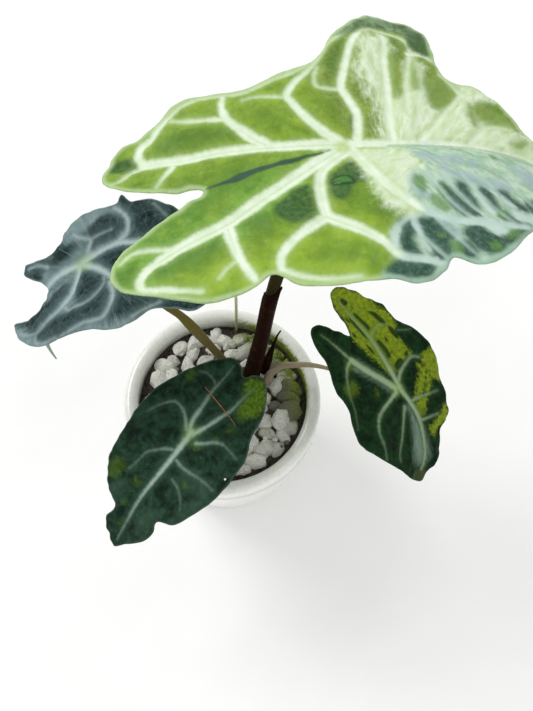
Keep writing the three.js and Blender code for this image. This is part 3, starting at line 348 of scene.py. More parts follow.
# Named patches of colour on each blade, as outlines on the flat blade
PATCHES = {
    "top": {
        "haze": [
            [(17, 2), (18, 14), (16, 26), (13, 36), (13, 48), (17, 60), (26, 60), (26, 46), (25, 38),
             (25, 30),
             (29, 26), (32, 32), (34, 44), (39, 46), (41, 38), (41, 28), (45, 22), (51, 24), (58, 33),
             (55, 41), (71, 42), (80, 29), (75, 30), (66, 30), (62, 27), (63, 18), (78, 17), (92, 15),
             (118, 9), (137, 6), (120, 5), (90, 4), (50, 3)],
            [(0, -2), (27, -1), (29, -8), (37, -15), (30, -17), (26, -16), (23, -22), (23, -28), (28, -35),
             (24, -38), (19, -38), (13, -33), (9, -28), (8, -20), (6, -12), (3, -6)],
            [(38, -39), (48, -41.5), (60, -41), (74, -38.5), (60, -37.5), (46, -37.5)],
        ],
        "olive": [
            [(41, 27), (44, 22), (50, 25), (57, 33), (56, 37), (50, 38), (44, 40), (40, 36)],
            [(63.5, 20), (64, 27), (68, 29), (72, 28.5), (76, 24), (82, 19), (76, 17.5), (66, 17.5)],
            [(35, 30), (37.5, 30), (38, 42), (36, 46), (34, 40)],
            [(60, 14), (62.5, 15), (61.5, 28), (59, 22)],
            [(25.5, 26), (27.5, 26), (29.5, 38), (29, 50), (26, 46), (26, 38)],
            [(78, 9), (84, 13), (89, 12), (85, 8)],
        ],
        "seam": [[(18, -0.2), (40, 1.0), (60, 2.8), (92, 2.4), (92, 3.6), (60, 3.8), (40, 2.2), (18, 0.6)]],
        "olive_side": [[(0, 14), (10, 2), (60, 3), (137, 6), (95, 45), (55, 90), (0, 75), (-10, 45)]],
        "sector": [
            [(27, 0), (50, 2), (90, 3), (137, 5.5), (137, -30), (97, -40), (60, -70), (30, -80), (3, -76),
             (5, -64), (13, -57), (10, -52), (12, -43), (20, -38), (26, -34), (22, -25), (26, -15),
             (32, -12)],
        ],
        "lavender": [
            [(28, -4), (34, -8), (40, -10), (39, -14), (44, -18), (50, -20), (66, -21), (71, -19), (66, -15),
             (56, -16), (50, -13), (43, -13), (42, -8), (34, -4)],
            [(43, -4), (50, -3), (50, -8), (44, -9)],
            [(52, -5.5), (56, -5.5), (56, -9), (52, -9)],
            [(72, -4), (90, -4), (110, -8), (96, -18), (80, -13), (74, -8)],
            [(23.5, -17), (25.5, -16), (25, -24), (29.5, -27), (28, -29.5), (23, -26)],
            [(24, -39), (34, -39), (38, -45), (35, -50), (33, -44), (26, -43)],
        ],
        "silver": [
            [(38, -40.2), (48, -40.6), (60, -40), (73, -37.8), (60, -38), (46, -38.2)],
            [(50, -41), (59, -41), (61, -43), (55, -47), (52, -45)],
            [(20, -41), (22, -41), (24, -48), (25, -56), (23, -55), (21.5, -48)],
            [(11.5, -44), (13.5, -44), (13, -51), (14.5, -58), (20, -60), (27, -58.5), (20, -61),
             (11.5, -58.5)],
            [(66, -31), (74, -31.5), (78, -34), (72, -36), (66, -34)],
            [(58, -22), (61, -22), (69, -29), (66, -29)],
            [(50, -24), (52, -24), (57, -35), (54, -35)],
        ],
        "dark": [
            [(36, -22), (38.5, -23), (41, -28), (45, -32), (49, -37), (44, -37.5), (40, -35), (37.5, -30)],
            [(44, -20), (46.5, -20.5), (48, -27), (50, -33), (47, -31), (43.5, -27)],
            [(54, -22), (56.5, -23), (59, -29), (60, -34), (56, -31)],
            [(62, -22), (66, -22), (70, -26), (75, -29), (72, -30.5), (66, -27)],
            [(76, -24), (86, -26), (84, -31), (75.5, -28)],
            [(61, -33), (66, -36), (75, -36.5), (75, -38), (66, -38), (59, -36)],
            [(14.5, -41), (19, -40.5), (20, -46), (18, -50), (20, -57), (14.5, -56.5), (13.5, -51),
             (15.5, -46)],
            [(22.5, -41), (30, -39.5), (34, -44), (36, -48), (33, -50), (33, -55), (28, -58.5), (25, -56),
             (24, -49)],
            [(41, -45), (47, -42.5), (51, -46), (60, -45), (66, -41.5), (74, -39.5), (66, -46), (58, -50),
             (52, -55), (45, -54), (42, -50)],
            [(38, -50), (42, -51), (43.5, -56), (40, -58), (37, -55)],
            [(7, -61.5), (20, -60.5), (24, -63), (21, -67), (12, -68), (6, -66)],
        ],
        "green": [
            [(25.5, -18), (29, -17.5), (29.5, -25), (27, -27), (25.5, -24)],
            [(30, -28), (34, -29), (37, -35), (34, -36), (31, -33)],
            [(34, -23), (36.5, -22.5), (37.5, -29), (35, -29)],
            [(65, 0.5), (68, 1), (68, -2.5), (65.5, -2)],
            [(30.5, -46), (32.5, -46), (32, -48.5), (30.5, -48)],
            [(34, -49.5), (37, -49.5), (38, -55), (36, -57), (33.5, -55)],
            [(60, -43), (67, -41), (64, -46), (58, -46)],
            [(50, -50), (54, -50), (53, -54), (50, -54)],
            [(58, -31), (62, -33), (62, -37), (58, -36)],
        ],
        "patch": [
            [(-97, 9), (-92, 12), (-85, 12), (-84, 7), (-90, 5.5), (-96, 6)],
            [(-31, -30), (-26, -25), (-23, -22), (-17, -20), (-14.8, -30), (-17, -38), (-24, -38.5),
             (-30, -35)],
            [(-3, -12), (1, -8.5), (4, -10), (8, -17), (1, -21), (-2, -27), (-6, -29), (-8.5, -24),
             (-8, -16)],
            [(5.2, 7), (6.4, 9), (6, 16), (4.8, 14)],
        ],
        "patch_soft": [
            [(-7, -55), (-4, -51), (1, -50.5), (4, -54), (4, -60), (1, -64), (-1, -63), (1, -59), (1, -55),
             (-1, -53), (-4, -54), (-6, -58)],
            [(-44, -33), (-38, -31), (-33, -35), (-36, -40), (-43, -38)],
            [(8, -38), (12, -31), (18, -31), (18, -36), (12, -40)],
            [(-94, -50), (-90, -46), (-86, -50), (-90, -55)],
            [(-80, -48), (-66, -42), (-54, -40), (-52, -46), (-64, -50), (-78, -54)],
            [(0, 40), (6, 42), (9, 56), (5, 57), (-1, 50)],
            [(28, 46), (33, 50), (34, 60), (29, 60)],
            [(-38, 12), (-52, 17), (-76, 14), (-76, 9), (-50, 8)],
        ],
        # The dark strip along the fold where the lobes join: partly the blade's dark colour, partly painted
        # shade of the fold
        "fold_strip_and_shade": [
            [(-57, -15.6), (-52, -13.6), (-46, -11.6), (-40, -9.2), (-30, -6.8), (-18, -4.5), (-5, -1.2),
             (-15, -5.2), (-24, -7.9), (-34, -10.4), (-42, -13.4), (-50, -14.8)],
        ],
        "fresh": [[(-100, -36), (-60, -16), (-18, -4), (-24, -30), (-60, -50), (-100, -60)]],
        "yellow": [[(-70, -54), (-44, -48), (-10, -40), (8, -40), (4, -70), (-60, -70)]],
        # The rolled edge of the hump, painted grey-green as its shade and sky reflection
        "roll": [
            [(-5, 50), (3, 61), (12, 61), (20, 65), (30, 66), (36, 63), (38, 56), (41, 51), (46, 50),
             (48, 44), (62, 52), (60, 92), (0, 92), (-12, 60)],
        ],
        "hump_green": [[(37, 55), (40, 52), (47, 51), (48, 60), (45, 68), (41, 72), (38, 64)]],
    },
    "left": {
        "haze": [
            [(-4, -8), (6, -6), (14, -6), (22, -8), (24, -3), (23, 1), (14, 1), (4, -1), (-3, -3)],
            [(5, 2), (14, 3), (24, 2), (27, 6), (20, 8), (10, 7), (6, 5)],
            [(-26, -15), (-14, -14), (-4, -12), (4, -13), (6, -17), (0, -22), (-12, -23), (-24, -20)],
            [(9, 12), (16, 11), (22, 13), (18, 19), (12, 18)],
            [(42, 22), (52, 10), (54, 0), (48, 8), (44, 14), (36, 24), (24, 30), (30, 30)],
            [(-14, 43), (-2, 38), (4, 34), (16, 31), (6, 38), (-6, 46)],
        ],
        "bubble": [
            [(-25, -3.5), (-16, -3), (-5, -3.8), (-5, -5.5), (-9, -8), (-18, -8), (-24, -7.5)],
            [(-24, -10), (-14, -9.5), (-8, -11), (-13, -15), (-22, -16)],
            [(-22.5, 7), (-12, 11), (-7, 3), (-14, 2), (-20, 5)],
            [(-6, 12), (-2, 17), (4, 18), (9, 14), (7, 8), (3, 6), (-2, 9)],
            [(-8, 20), (-7, 28), (-2, 33), (8, 30), (20, 29), (34, 24), (38, 18), (26, 17), (16, 20),
             (0, 23)],
            [(10, 6), (12, 10), (20, 13), (34, 14), (40, 12), (30, 9), (18, 5)],
            [(20, -9), (26, -7), (30, -11), (33, -16), (29, -17), (24, -13)],
            [(-50, 48), (-42, 54), (-34, 49), (-30, 42), (-40, 36), (-48, 42)],
            [(-50, -1), (-36, 3), (-30, 2), (-31, -8), (-33, -16), (-44, -9)],
        ],
        "lime": [[(-2, -1), (0, 3), (3, 4), (6, 1), (12, -1.2), (18, -1.8), (12, -2.8), (4, -2.6)]],
    },
    "front": {
        "haze": [
            [(41, -10), (50, -8), (53.5, -10), (50, -18), (43, -16)],
            [(38, 14), (50, 15), (60, 12), (50, 6), (40, 8)],
            [(24, 24), (36, 20), (40, 22), (30, 28), (18, 31)],
            [(14, 10), (20, 12), (20, 28), (13, 28)],
        ],
        "lime": [
            [(-41, 5), (-36, 5), (-30, 10), (-24, 10.5), (-24, 16), (-28, 22), (-36, 20), (-42, 14)],
            [(0, 9), (2, 9.5), (5, 6.5), (4, 4.5), (2, 7)],
        ],
        "spots": [
            [(-27, 12), (-21, 11), (-20, 18), (-26, 19)],
            [(-16, 15), (-12, 15), (-12, 17), (-16, 17)],
            [(-8, 12), (-5, 12), (-5, 14), (-8, 14)],
            [(32, -18), (38, -16), (44, -18), (43, -23), (34, -24)],
            [(-26, -17.5), (-20, -17.5), (-19, -21), (-24, -21.5)],
            [(35, -4), (38, -4), (38, -9), (35, -9)],
            [(19, 14), (21.5, 18), (22.5, 14)],
            [(47, -4), (50, -4), (49, -7)],
            [(56, 0), (62, -0.5), (60, -2.5), (56, -2)],
        ],
    },
    "right": {
        "haze": [
            [(11, -1), (22, -0.5), (30, -0.5), (38, -2.5), (41.5, -7), (40, -12.5), (35, -14), (30, -11.5),
             (25, -8), (18, -3.5)],
            [(-26, -11), (-18, -8), (-8, -4), (-2, -5), (-8, -7), (-16, -11), (-22, -14)],
        ],
        "lime": [
            [(-63, 5), (-58, 0.5), (-50, 0), (-44, -0.5), (-38, -3.5), (-30, -3.4), (-22, -2), (-16, -0.4),
             (-8, 1.5), (-8, 6), (-10, 12), (-9, 17), (-16, 17), (-24, 17), (-27, 21), (-34, 22), (-40, 19.5),
             (-50, 17.5), (-58, 13)],
            [(-6, 22), (-5, 31), (4, 28), (12, 25), (8, 20), (2, 19), (-3, 20)],
            [(-4, 17), (2, 19), (6, 15), (11, 8), (10, 4), (6, 8), (0, 15)],
            [(2, 20), (6, 20), (12, 12), (20, 4), (22, 2), (13, 3), (11, 10)],
            [(22, 17), (27, 17), (30, 13), (31, 8), (34, 4), (28, 3), (26, 9)],
        ],
        "spots": [
            [(-19, -20), (-13, -20), (-12, -27), (-18, -28)],
            [(-8, -12), (-4, -12), (-5, -15)],
            [(-30, -15), (-22, -14), (-24, -19)],
        ],
        "bubble": [
            [(-56, 7), (-54, 8.6), (-51.5, 8), (-51.5, 6), (-55, 5.8)],
            [(-50, 9), (-47.5, 9), (-47.5, 8.3)],
            [(-46, 7.6), (-40, 8.4), (-34, 8.8), (-33, 7.6), (-40, 7), (-45, 6.6)],
            [(-27, 7.6), (-22, 8.4), (-15, 7.2), (-15, 6.2), (-22, 6.4), (-26, 6.6)],
            [(-18, 9.6), (-16, 9.4), (-17, 8.6)],
            [(-26, 11.5), (-22, 11.4), (-24, 10.4)],
            [(-42, 14), (-32, 17), (-30, 16), (-38, 13.6)],
            [(-29, 17), (-24, 18), (-20, 16), (-26, 15)],
            [(-46, 3.6), (-38, 4.2), (-30, 3.6), (-36, 2.6), (-44, 2.8)],
            [(-47, 2), (-42, 1.8), (-44, 0.6)],
            [(-29, 1), (-21, 1), (-26, -0.4)],
            [(-38, -1.4), (-34, -1.6), (-36, -2.6)],
            [(-12, 11), (-9, 11), (-8, 6), (-11, 6)],
            [(-13, 16), (-10, 15), (-12, 13)],
        ],
        "curl": [[(43, -12), (47, -10), (51, -14), (46, -21), (42, -19)]],
    },
}

# A small blister on the tallest blade: its middle, its two radii and its height
BLISTER = {"x": -3.4, "y": -19.6, "along": 4.6, "across": 2.7, "rise": 1.2}

# Points of the flat blades from which streaks run out: three on the tallest, one on the dark ones
HAZE_FLOW = (18.0, -24.0)
FAN_FLOW = (64.0, 30.0)
SECTOR_FLOW = (4.0, 14.0)
DARK_FLOW = (-10.0, 16.0)
STREAK_TURN = 26.0
STREAK_REACH = 0.16

# How each patch is painted: how far noises shift its edge, between which depths it fades in, how
# strong it gets, and its colours
PATCH_LOOKS = {
    "top": {
        "fresh": ((), (-5, 6), 1.0, ("5c8c2c", "7dab44")),
        "olive_side": ((12,), (-4, 6), 1.0, ("6a8335", "849c49")),
        "yellow": ((26,), (-4, 10), 0.75, ("83a82a", "a0c03c")),
        "patch_soft": ((6,), (-3.5, 3.5), 0.55, ("4c752c",)),
        "patch": ((4,), (-2.0, 1.2), 0.9, ("274c25", "48703a")),
        "haze": ((14, 3), (-4.5, 3.5), 0.96, ("c6dbab", "e6f3dc")),
        "olive": ((9,), (-2.6, 2.2), 0.85, ("6c8a3b", "8ea955")),
        "sector": ((8,), (-2.4, 2.4), 1.0, ("94b89c", "c4dcc2")),
        "lavender": ((6,), (-2.5, 2.5), 0.8, ("8aa4a8", "b4c8ca")),
        "dark": ((5, 3.5), (-3.0, 0.8), 0.97, ("25483a", "4a6f5e")),
        "green": ((3,), (-1.6, 1.2), 0.75, ("46733a", "6f9c4a")),
        "silver": ((6,), (-1.4, 1.8), 0.8, ("cde2da",)),
        "seam": ((1.2,), (-0.5, 0.5), 0.6, ("8fb091",)),
        # roll: painted shade and sky reflection on the rolled edge
        "roll": ((5,), (-1.6, 2.0), 0.88, ("46603e", "82a07c")),
        "hump_green": ((5,), (-1.5, 2.0), 0.85, ("2b4f22", "4d6f3e")),
        # The fold strip: partly the blade's dark colour, partly painted shade of the fold
        "fold_strip_and_shade": ((1.0,), (-0.8, 0.6), 1.0, ("2a4836", "47664f")),
    },
    "left": {
        "haze": ((7,), (-3.6, 3.0), 0.8, ("6a8284", "93a8a8")),
        "bubble": ((2,), (-1.6, 1.6), 0.85, ("182a28", "41575a")),
        "lime": ((5, 3), (-1.6, 1.6), 0.8, ("8fae74", "a9c792")),
    },
    "front": {
        "haze": ((7,), (-3.6, 3.0), 0.25, ("41604e", "54705f")),
        "lime": ((5, 3), (-1.6, 1.6), 0.8, ("33520f", "6d8a1c")),
        "spots": ((6,), (-1.6, 2.6), 0.38, ("33520f", "6d8a1c")),
    },
    "right": {
        "haze": ((7,), (-3.6, 3.0), 0.9, ("3b5c3a", "8fa398")),
        "lime": ((5, 5), (-1.6, 1.6), 0.95, ("5f7410", "8b9c26")),
        "spots": ((6,), (-1.6, 2.6), 0.38, ("5f7410", "8b9c26")),
        "bubble": ((2.5,), (-0.6, 0.5), 0.9, ("0e2a0c",)),
        "curl": ((2,), (-1.5, 1.5), 0.8, ("46502f",)),
    },
}

# Colours and vein settings of the three dark blades
DARK_LOOKS = {
    "left": {
        "deep": "1a2d2b", "body": "2f4644", "vein": "b4c4c4", "halo": "6a8284", "margin": "84999a",
        "halo_reach": 5.4, "edge": 1.2, "veil": (-1.4, 1.6), "least": 0.5, "net": 0.04,
    },
    "front": {
        "deep": "0c1f14", "body": "25432f", "vein": "a9bfb0", "halo": "41604e", "margin": "4b6355",
        "halo_reach": 4.0, "edge": 1.0, "veil": (-1.3, 1.1), "least": 0.22, "net": 0.02,
    },
    "right": {
        "deep": "061c09", "body": "123517", "vein": "9bb08c", "halo": "3b5c3a", "margin": "24432a",
        "halo_reach": 3.0, "edge": 0.7, "veil": (-0.9, 1.0), "least": 0.3, "net": 0.02,
    },
}

# The stalks' colours below and above a height, that height, and how far the change spreads
STALK_LOOKS = {
    "olive": (("1c170a", "302a10"), ("2a280c", "48441a"), 205, 18),
    "green": (("5a4f30", "6e6140"), ("5a5326", "736a38"), 135, 20),
    "pale": (("8f7f6c", "b0a08b"), ("8f8468", "aaa07f"), 112, 10),
    "spent": (("8d8a63", "b5b390"), ("b9bd97", "d0d3b4"), 110, 20),
}

# Leaf stalks: their course from the crown to the blade, and their radius from foot to top
STALKS = {
    "top": {
        "course": [
            (15.5, 13.2, 84), (17.6, 13.2, 103), (22.5, 16.3, 142), (28.4, 22, 190), (39, 34, 228),
            (55.6, 49, 262),
        ],
        "radii": [3.5, 3.1, 2.9, 3.1, 2.8, 2.9],
    },
    "left": {
        "course": [
            (6.5, 16, 84), (3, 17.4, 97), (-1.4, 18.6, 111), (-6.1, 19.4, 125), (-11.2, 21, 139.5),
            (-17.2, 22, 153), (-25, 23.4, 164), (-42, 28.5, 179), (-62.3, 34.1, 190),
        ],
        "radii": [2.6, 2.4, 2.2, 2.1, 2.1, 2, 1.8, 1.6, 1.9],
        "wing": {"from": 0.3, "to": 0.58, "width": 1.5, "side": 200, "sharpness": 6},
    },
    "front": {
        "course": [(13, 3.5, 84), (11.5, -3, 106), (4, -16, 124), (-13.6, -33.1, 135)],
        "radii": [2.5, 2.1, 1.8, 1.8],
    },
    "right": {
        "course": [
            (24, 9.8, 84), (26.7, 12.4, 98), (32.8, 14.4, 105), (40, 13.2, 110), (48.8, 11, 115.5),
            (57, 7.8, 119), (76, 0, 121), (94, -5.6, 125),
        ],
        "radii": [2.3, 2.2, 1.9, 1.5, 1, 0.9, 1, 1.3],
    },
}
STALK_STEP = 1.2
STALK_SIDES = 28
STALK_SWELLING = {"rise": 0.02, "size": 6}
STALK_TOP_REACH = 12
TAIL_SIDES = 14
TAIL_STEP = 0.6

# The dark sheath round the foot of the tallest stalk, between two shares of the stalk's length.
# Its slit is on the right, and past the share named opens it narrows to a free tip (degrees).
SHEATH = {
    "from": 0.012, "to": 0.57, "opens": 0.84, "slit": (34, 352), "tip": (318, 342),
    "thickness": (1.5, 1.1, 0.9, 0.8), "least": 0.5, "edge_share": 0.4, "gap": 0.08, "step": 0.9,
    "sides": 40, "folds": ((0.12, 9, 4), (0.08, 23, -7)),
}
SCALE_LEAF = {
    "course": [
        (22.8, 18, 84), (23.6, 17.6, 94), (26.4, 19.3, 110), (29.2, 21.2, 124), (30.6, 22.4, 130),
        (32.2, 23.8, 132.5),
    ],
    "radii": [2.8, 2.9, 2.6, 1.6, 0.8, 0.4], "step": 0.8, "sides": 26,
    "groove": {"depth": 0.16, "angle": 2.4, "width": 0.12}, "keels": {"rise": 0.04, "count": 7},
}
SPENT_STALK = {
    "course": [(7, 44.6, 74), (7.2, 44.6, 88), (7.9, 42, 112), (8.7, 39.4, 141)],
    "radii": [0.9, 0.8, 0.8, 0.8], "step": 1.0, "sides": 16, "sways": ((0.025, 0.7), (0.02, 1.9)),
}

# What lies on the front blade: a dry fibre and a white grain, in millimetres on the flat blade
FIBRE = [(-22.4, -9.6), (-21, -2), (-19.6, 6), (-18.4, 12), (-17.2, 16.6)]
FIBRE_RADIUS = 0.24
FIBRE_LIFT = 0.3
FIBRE_TIPS = (0.12, 0.1)
FIBRE_STEP = 0.6
FIBRE_SIDES = 8
GRAIN = {"x": 5.8, "y": 30, "radius": 0.65}

# Camera
CAMERA_PLACE = (24.7, -165.2, 565.4)
CAMERA_TILT = 22
CAMERA_LENS = 45.37
CAMERA_SENSOR = 36
CAMERA_NEAREST = 10

# Floor and light
FLOOR_HALF_SIDE = 4000
ROOM_LIGHT = 0.76
LIGHTS = {
    "key": {"place": (-1300, 900, 1700), "target": (30, 10, 150), "size": 1000, "power": 18},
    "fill": {"place": (1300, -600, 1500), "target": (30, 0, 120), "size": 1200, "power": 4},
}


# Small helpers for numbers
def lerp(low, high, share):
    return low + (high - low) * share


def smoothstep(value, low, high):
    share = np.clip((value - low) / (high - low), 0, 1)
    return share * share * (3 - 2 * share)


def whole32(value):
    return value & 0xFFFFFFFF


def seeded_random(seed):
    """A repeatable draw of numbers from 0 to 1."""
    state = [seed]

    def draw():
        state[0] = whole32(state[0] + 0x6D2B79F5)
        value = whole32((state[0] ^ (state[0] >> 15)) * (1 | state[0]))
        value = whole32(value + whole32((value ^ (value >> 7)) * (61 | value))) ^ value
        return whole32(value ^ (value >> 14)) / 4294967296

    return draw


def ripples(points, wavelength, seed, count=10):
    """Soft irregular relief between about -1 and 1, as a sum of plane waves."""
    chance = np.random.default_rng(seed)
    total = np.zeros(len(points))
    for _ in range(count):
        direction = chance.normal(size=points.shape[1])
        direction /= np.linalg.norm(direction)
        length = wavelength * chance.uniform(*RIPPLE_SPREAD)
        total += np.sin(2 * math.pi * (points @ direction) / length + chance.uniform(0, 2 * math.pi))
    return total / math.sqrt(count)


# Lines on the flat and in space
def curve_span(before, start, end, after, count):
    """One span of a centripetal Catmull-Rom curve, without its end point."""
    gaps = [max(1e-9, np.linalg.norm(v)) ** 0.5 for v in (start - before, end - start, after - end)]
    first = (start - before) / gaps[0] - (end - before) / (gaps[0] + gaps[1]) + (end - start) / gaps[1]
    second = (end - start) / gaps[1] - (after - start) / (gaps[1] + gaps[2]) + (after - end) / gaps[2]
    first = first * gaps[1]
    second = second * gaps[1]
    t = np.linspace(0, 1, count, endpoint=False)[:, None]
    square = -3 * start + 3 * end - 2 * first - second
    cube = 2 * start - 2 * end + first + second
    return start + first * t + square * t**2 + cube * t**3


def smooth_line(points, closed, step):
    """A smooth curve through the points, cut at even steps."""
    given = np.array(points, float)
    count = len(given)
    spans = []
    for k in range(count if closed else count - 1):
        start = given[k]
        end = given[(k + 1) % count]
        before = given[k - 1] if closed or k else 2 * start - end
        after = given[(k + 2) % count] if closed or k + 2 < count else 2 * end - start
        spans.append(curve_span(before, start, end, after, SPAN_STEPS))
    line = np.vstack([*spans, given[:1] if closed else given[-1:]])
    runs = line_runs(line)
    cuts = max(2, round(runs[-1] / step))
    places = np.linspace(0, runs[-1], cuts + 1)
    even = np.stack([np.interp(places, runs, line[:, k]) for k in range(line.shape[1])], axis=1)
    return even[:-1] if closed else even


def line_runs(line):
    lengths = np.linalg.norm(np.diff(line, axis=0), axis=1)
    return np.concatenate([[0], np.cumsum(lengths)])


def nearest_on_line(points, line, closed=False):
    """Each point's distance to a line, and the length along the line to the nearest place."""
    ring = np.vstack([line, line[:1]]) if closed else line
    runs = line_runs(ring)
    best = np.full(len(points), np.inf)
    run = np.zeros(len(points))
    for k in range(len(ring) - 1):
        step = ring[k + 1] - ring[k]
        share = np.clip((points - ring[k]) @ step / max(step @ step, 1e-12), 0, 1)
        offset = points - ring[k] - share[:, None] * step
        gap = np.hypot(offset[:, 0], offset[:, 1])
        closer = gap < best
        best[closer] = gap[closer]
        run[closer] = runs[k] + share[closer] * (runs[k + 1] - runs[k])
    return best, run, runs[-1]


def is_inside(points, ring):
    inside = np.zeros(len(points), bool)
    x, y = points[:, 0], points[:, 1]
    for k in range(len(ring)):
        (ax, ay), (bx, by) = ring[k - 1], ring[k]
        if ay == by:
            continue
        crosses = (ay > y) != (by > y)
        inside ^= crosses & (x < (bx - ax) * (y - ay) / (by - ay) + ax)
    return inside


def depth_in(points, rings):
    """How far each point lies inside the nearest of some rounded patches, less than 0 outside."""
    deepest = np.full(len(points), -99.0)
    for ring in rings:
        smooth = smooth_line(ring, True, PATCH_STEP)
        gap = nearest_on_line(points, smooth, True)[0]
        deepest = np.maximum(deepest, np.where(is_inside(points, smooth), gap, -gap))
    return deepest


def ring_area(ring):
    following = np.roll(ring, -1, axis=0)
    return 0.5 * np.sum(ring[:, 0] * following[:, 1] - following[:, 0] * ring[:, 1])


# Meshes
def new_object(name, points, faces):
    """A smooth mesh object from points in millimetres."""
    mesh = bpy.data.meshes.new(name)
    corners = np.asarray(points, np.float32) * MM
    mesh.from_pydata(corners.tolist(), [], faces)
    mesh.update()
    mesh.shade_smooth()
    made = bpy.data.objects.new(name, mesh)
    bpy.context.scene.collection.objects.link(made)
    return made


def add_values(piece, name, values):
    values = np.asarray(values, np.float32)
    kind = "FLOAT_VECTOR" if values.ndim == 2 else "FLOAT"
    attribute = piece.data.attributes.new(name, kind, "POINT")
    attribute.data.foreach_set("vector" if values.ndim == 2 else "value", values.ravel())


def put_in_place(piece, slot, *nodes):
    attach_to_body(piece, "root")
    if nodes:
        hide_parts(*nodes)


def add_piece(name, points, faces, material, slot, *nodes):
    """A piece of one material, which takes the place of the named nodes."""
    piece = new_object(name, points, faces)
    piece.data.materials.append(material)
    put_in_place(piece, slot, *nodes)
    return piece


def apply_modifier(piece, modifier):
    bpy.context.view_layer.objects.active = piece
    bpy.ops.object.modifier_apply(modifier=modifier.name)


def around(centre, x_axis, y_axis, reach, angles):
    """A ring of points round a centre, each at its own reach and angle."""
    return centre + (reach * np.cos(angles))[:, None] * x_axis + (reach * np.sin(angles))[:, None] * y_axis


def even_angles(count):
    return 2 * math.pi * np.arange(count) / count


def lathe(profile, sides):
    """Points and faces of a turned shape whose profile starts and ends on the axis."""
    points = [(0, 0, profile[0][1])]
    faces = []
    rings = profile[1:-1]
    for radius, z in rings:
        points += [(radius * math.cos(angle), radius * math.sin(angle), z) for angle in even_angles(sides)]
    points.append((0, 0, profile[-1][1]))
    last = len(points) - 1
    foot = 1 + (len(rings) - 1) * sides
    for k in range(sides):
        after = (k + 1) % sides
        faces.append((0, 1 + after, 1 + k))
        faces.append((last, foot + k, foot + after))
        for ring in range(len(rings) - 1):
            low, high = 1 + ring * sides, 1 + (ring + 1) * sides
            faces.append((low + k, low + after, high + after, high + k))
    return np.array(points, float), faces


# Blades
def blade_rim(leaf, step):
    rim = smooth_line(leaf["outline"], True, step)
    return rim[::-1] if ring_area(rim) < 0 else rim


def flat_net(rim, cell):
    """Points and triangles that fill the rim evenly; the rim's points come first."""
    low, high = rim.min(0), rim.max(0)
    rows = []
    y = low[1]
    shift = 0
    while y < high[1]:
        x = np.arange(low[0] + shift, high[0], cell)
        rows.append(np.stack([x, np.full(len(x), y)], axis=1))
        y += cell * ROW_SHARE
        shift = 0.5 * cell - shift
    grid = np.vstack(rows)
    grid = grid[is_inside(grid, rim)]
    coarse = rim[:: max(1, round(1 / max(cell, 0.5)))]
    grid = grid[nearest_on_line(grid, coarse, True)[0] > RIM_ROOM * cell]
    points = np.vstack([rim, grid])
    edges = [(k, (k + 1) % len(rim)) for k in range(len(rim))]
    flat = [Vector(p) for p in points.tolist()]
    verts, _, faces, _, _, _ = geometry.delaunay_2d_cdt(flat, edges, [], 0, 1e-6, False)
    verts, faces = np.array([tuple(v) for v in verts]), np.array(faces)
    return verts, faces[is_inside(verts[faces].mean(axis=1), rim)]


def vein_lines(name):
    return [(smooth_line(course, False, VEIN_STEP), start, end) for course, start, end in VEINS[name]]


def vein_fields(points, veins):
    """Distance outside the pale veins, distance to their middle, and the run along them."""
    gap = np.full(len(points), 99.0)
    core = np.full(len(points), 99.0)
    run = np.zeros(len(points))
    for number, (line, start, end) in enumerate(veins):
        distance, along, length = nearest_on_line(points, line)
        outside = distance - lerp(start, end, along / length)
        closer = outside < gap
        gap[closer] = outside[closer]
        core[closer] = distance[closer]
        run[closer] = along[closer] + 57 * number
    return gap, core, run


def flat_tree(points):
    """A tree that finds the nearest of some points on the flat."""
    tree = KDTree(len(points))
    for k, point in enumerate(points.tolist()):
        tree.insert((*point, 0), k)
    tree.balance()
    return tree


def grow_veinlets(veins, rim, seed):
    """Fine side veins that leave the pale veins, curve towards the tips and never cross."""
    chance = np.random.default_rng(seed)
    rim_tree = flat_tree(rim)
    taken = {}
    for number, (line, _, _) in enumerate(veins):
        for point in line:
            taken[tuple((point // VEINLET_ROOM).astype(int))] = -1 - number
    veinlets = []
    for number, (line, _, _) in enumerate(veins):
        length = line_runs(line)[-1]
        for place in np.arange(chance.uniform(*VEINLET_START), length - 1, VEINLET_SPACING):
            index = min(len(line) - 2, int(place / length * (len(line) - 1)))
            heading = line[index + 1] - line[index]
            for side in (-1, 1):
                turn = math.atan2(heading[1], heading[0])
                turn += side * math.radians(chance.uniform(*VEINLET_ANGLES))
                bend = -side * chance.uniform(*VEINLET_BENDS)
                path = [line[index]]
                own = {-1 - number, len(veinlets) + 1}
                for _ in range(round(chance.uniform(*VEINLET_LENGTH) / VEINLET_STEP)):
                    turn += bend * VEINLET_STEP + chance.normal(0, VEINLET_SWAY)
                    spot = path[-1] + VEINLET_STEP * np.array([math.cos(turn), math.sin(turn)])
                    room = tuple((spot // VEINLET_ROOM).astype(int))
                    if taken.setdefault(room, len(veinlets) + 1) not in own:
                        break
                    if rim_tree.find((*spot, 0))[2] < VEINLET_RIM_ROOM:
                        break
                    path.append(spot)
                veinlets.append(np.array(path))
    return [line[is_inside(line, rim)] for line in veinlets]


def distance_to_dots(points, lines):
    tree = flat_tree(np.vstack([line for line in lines if len(line)]))
    return np.array([tree.find((x, y, 0))[2] for x, y in points.tolist()])


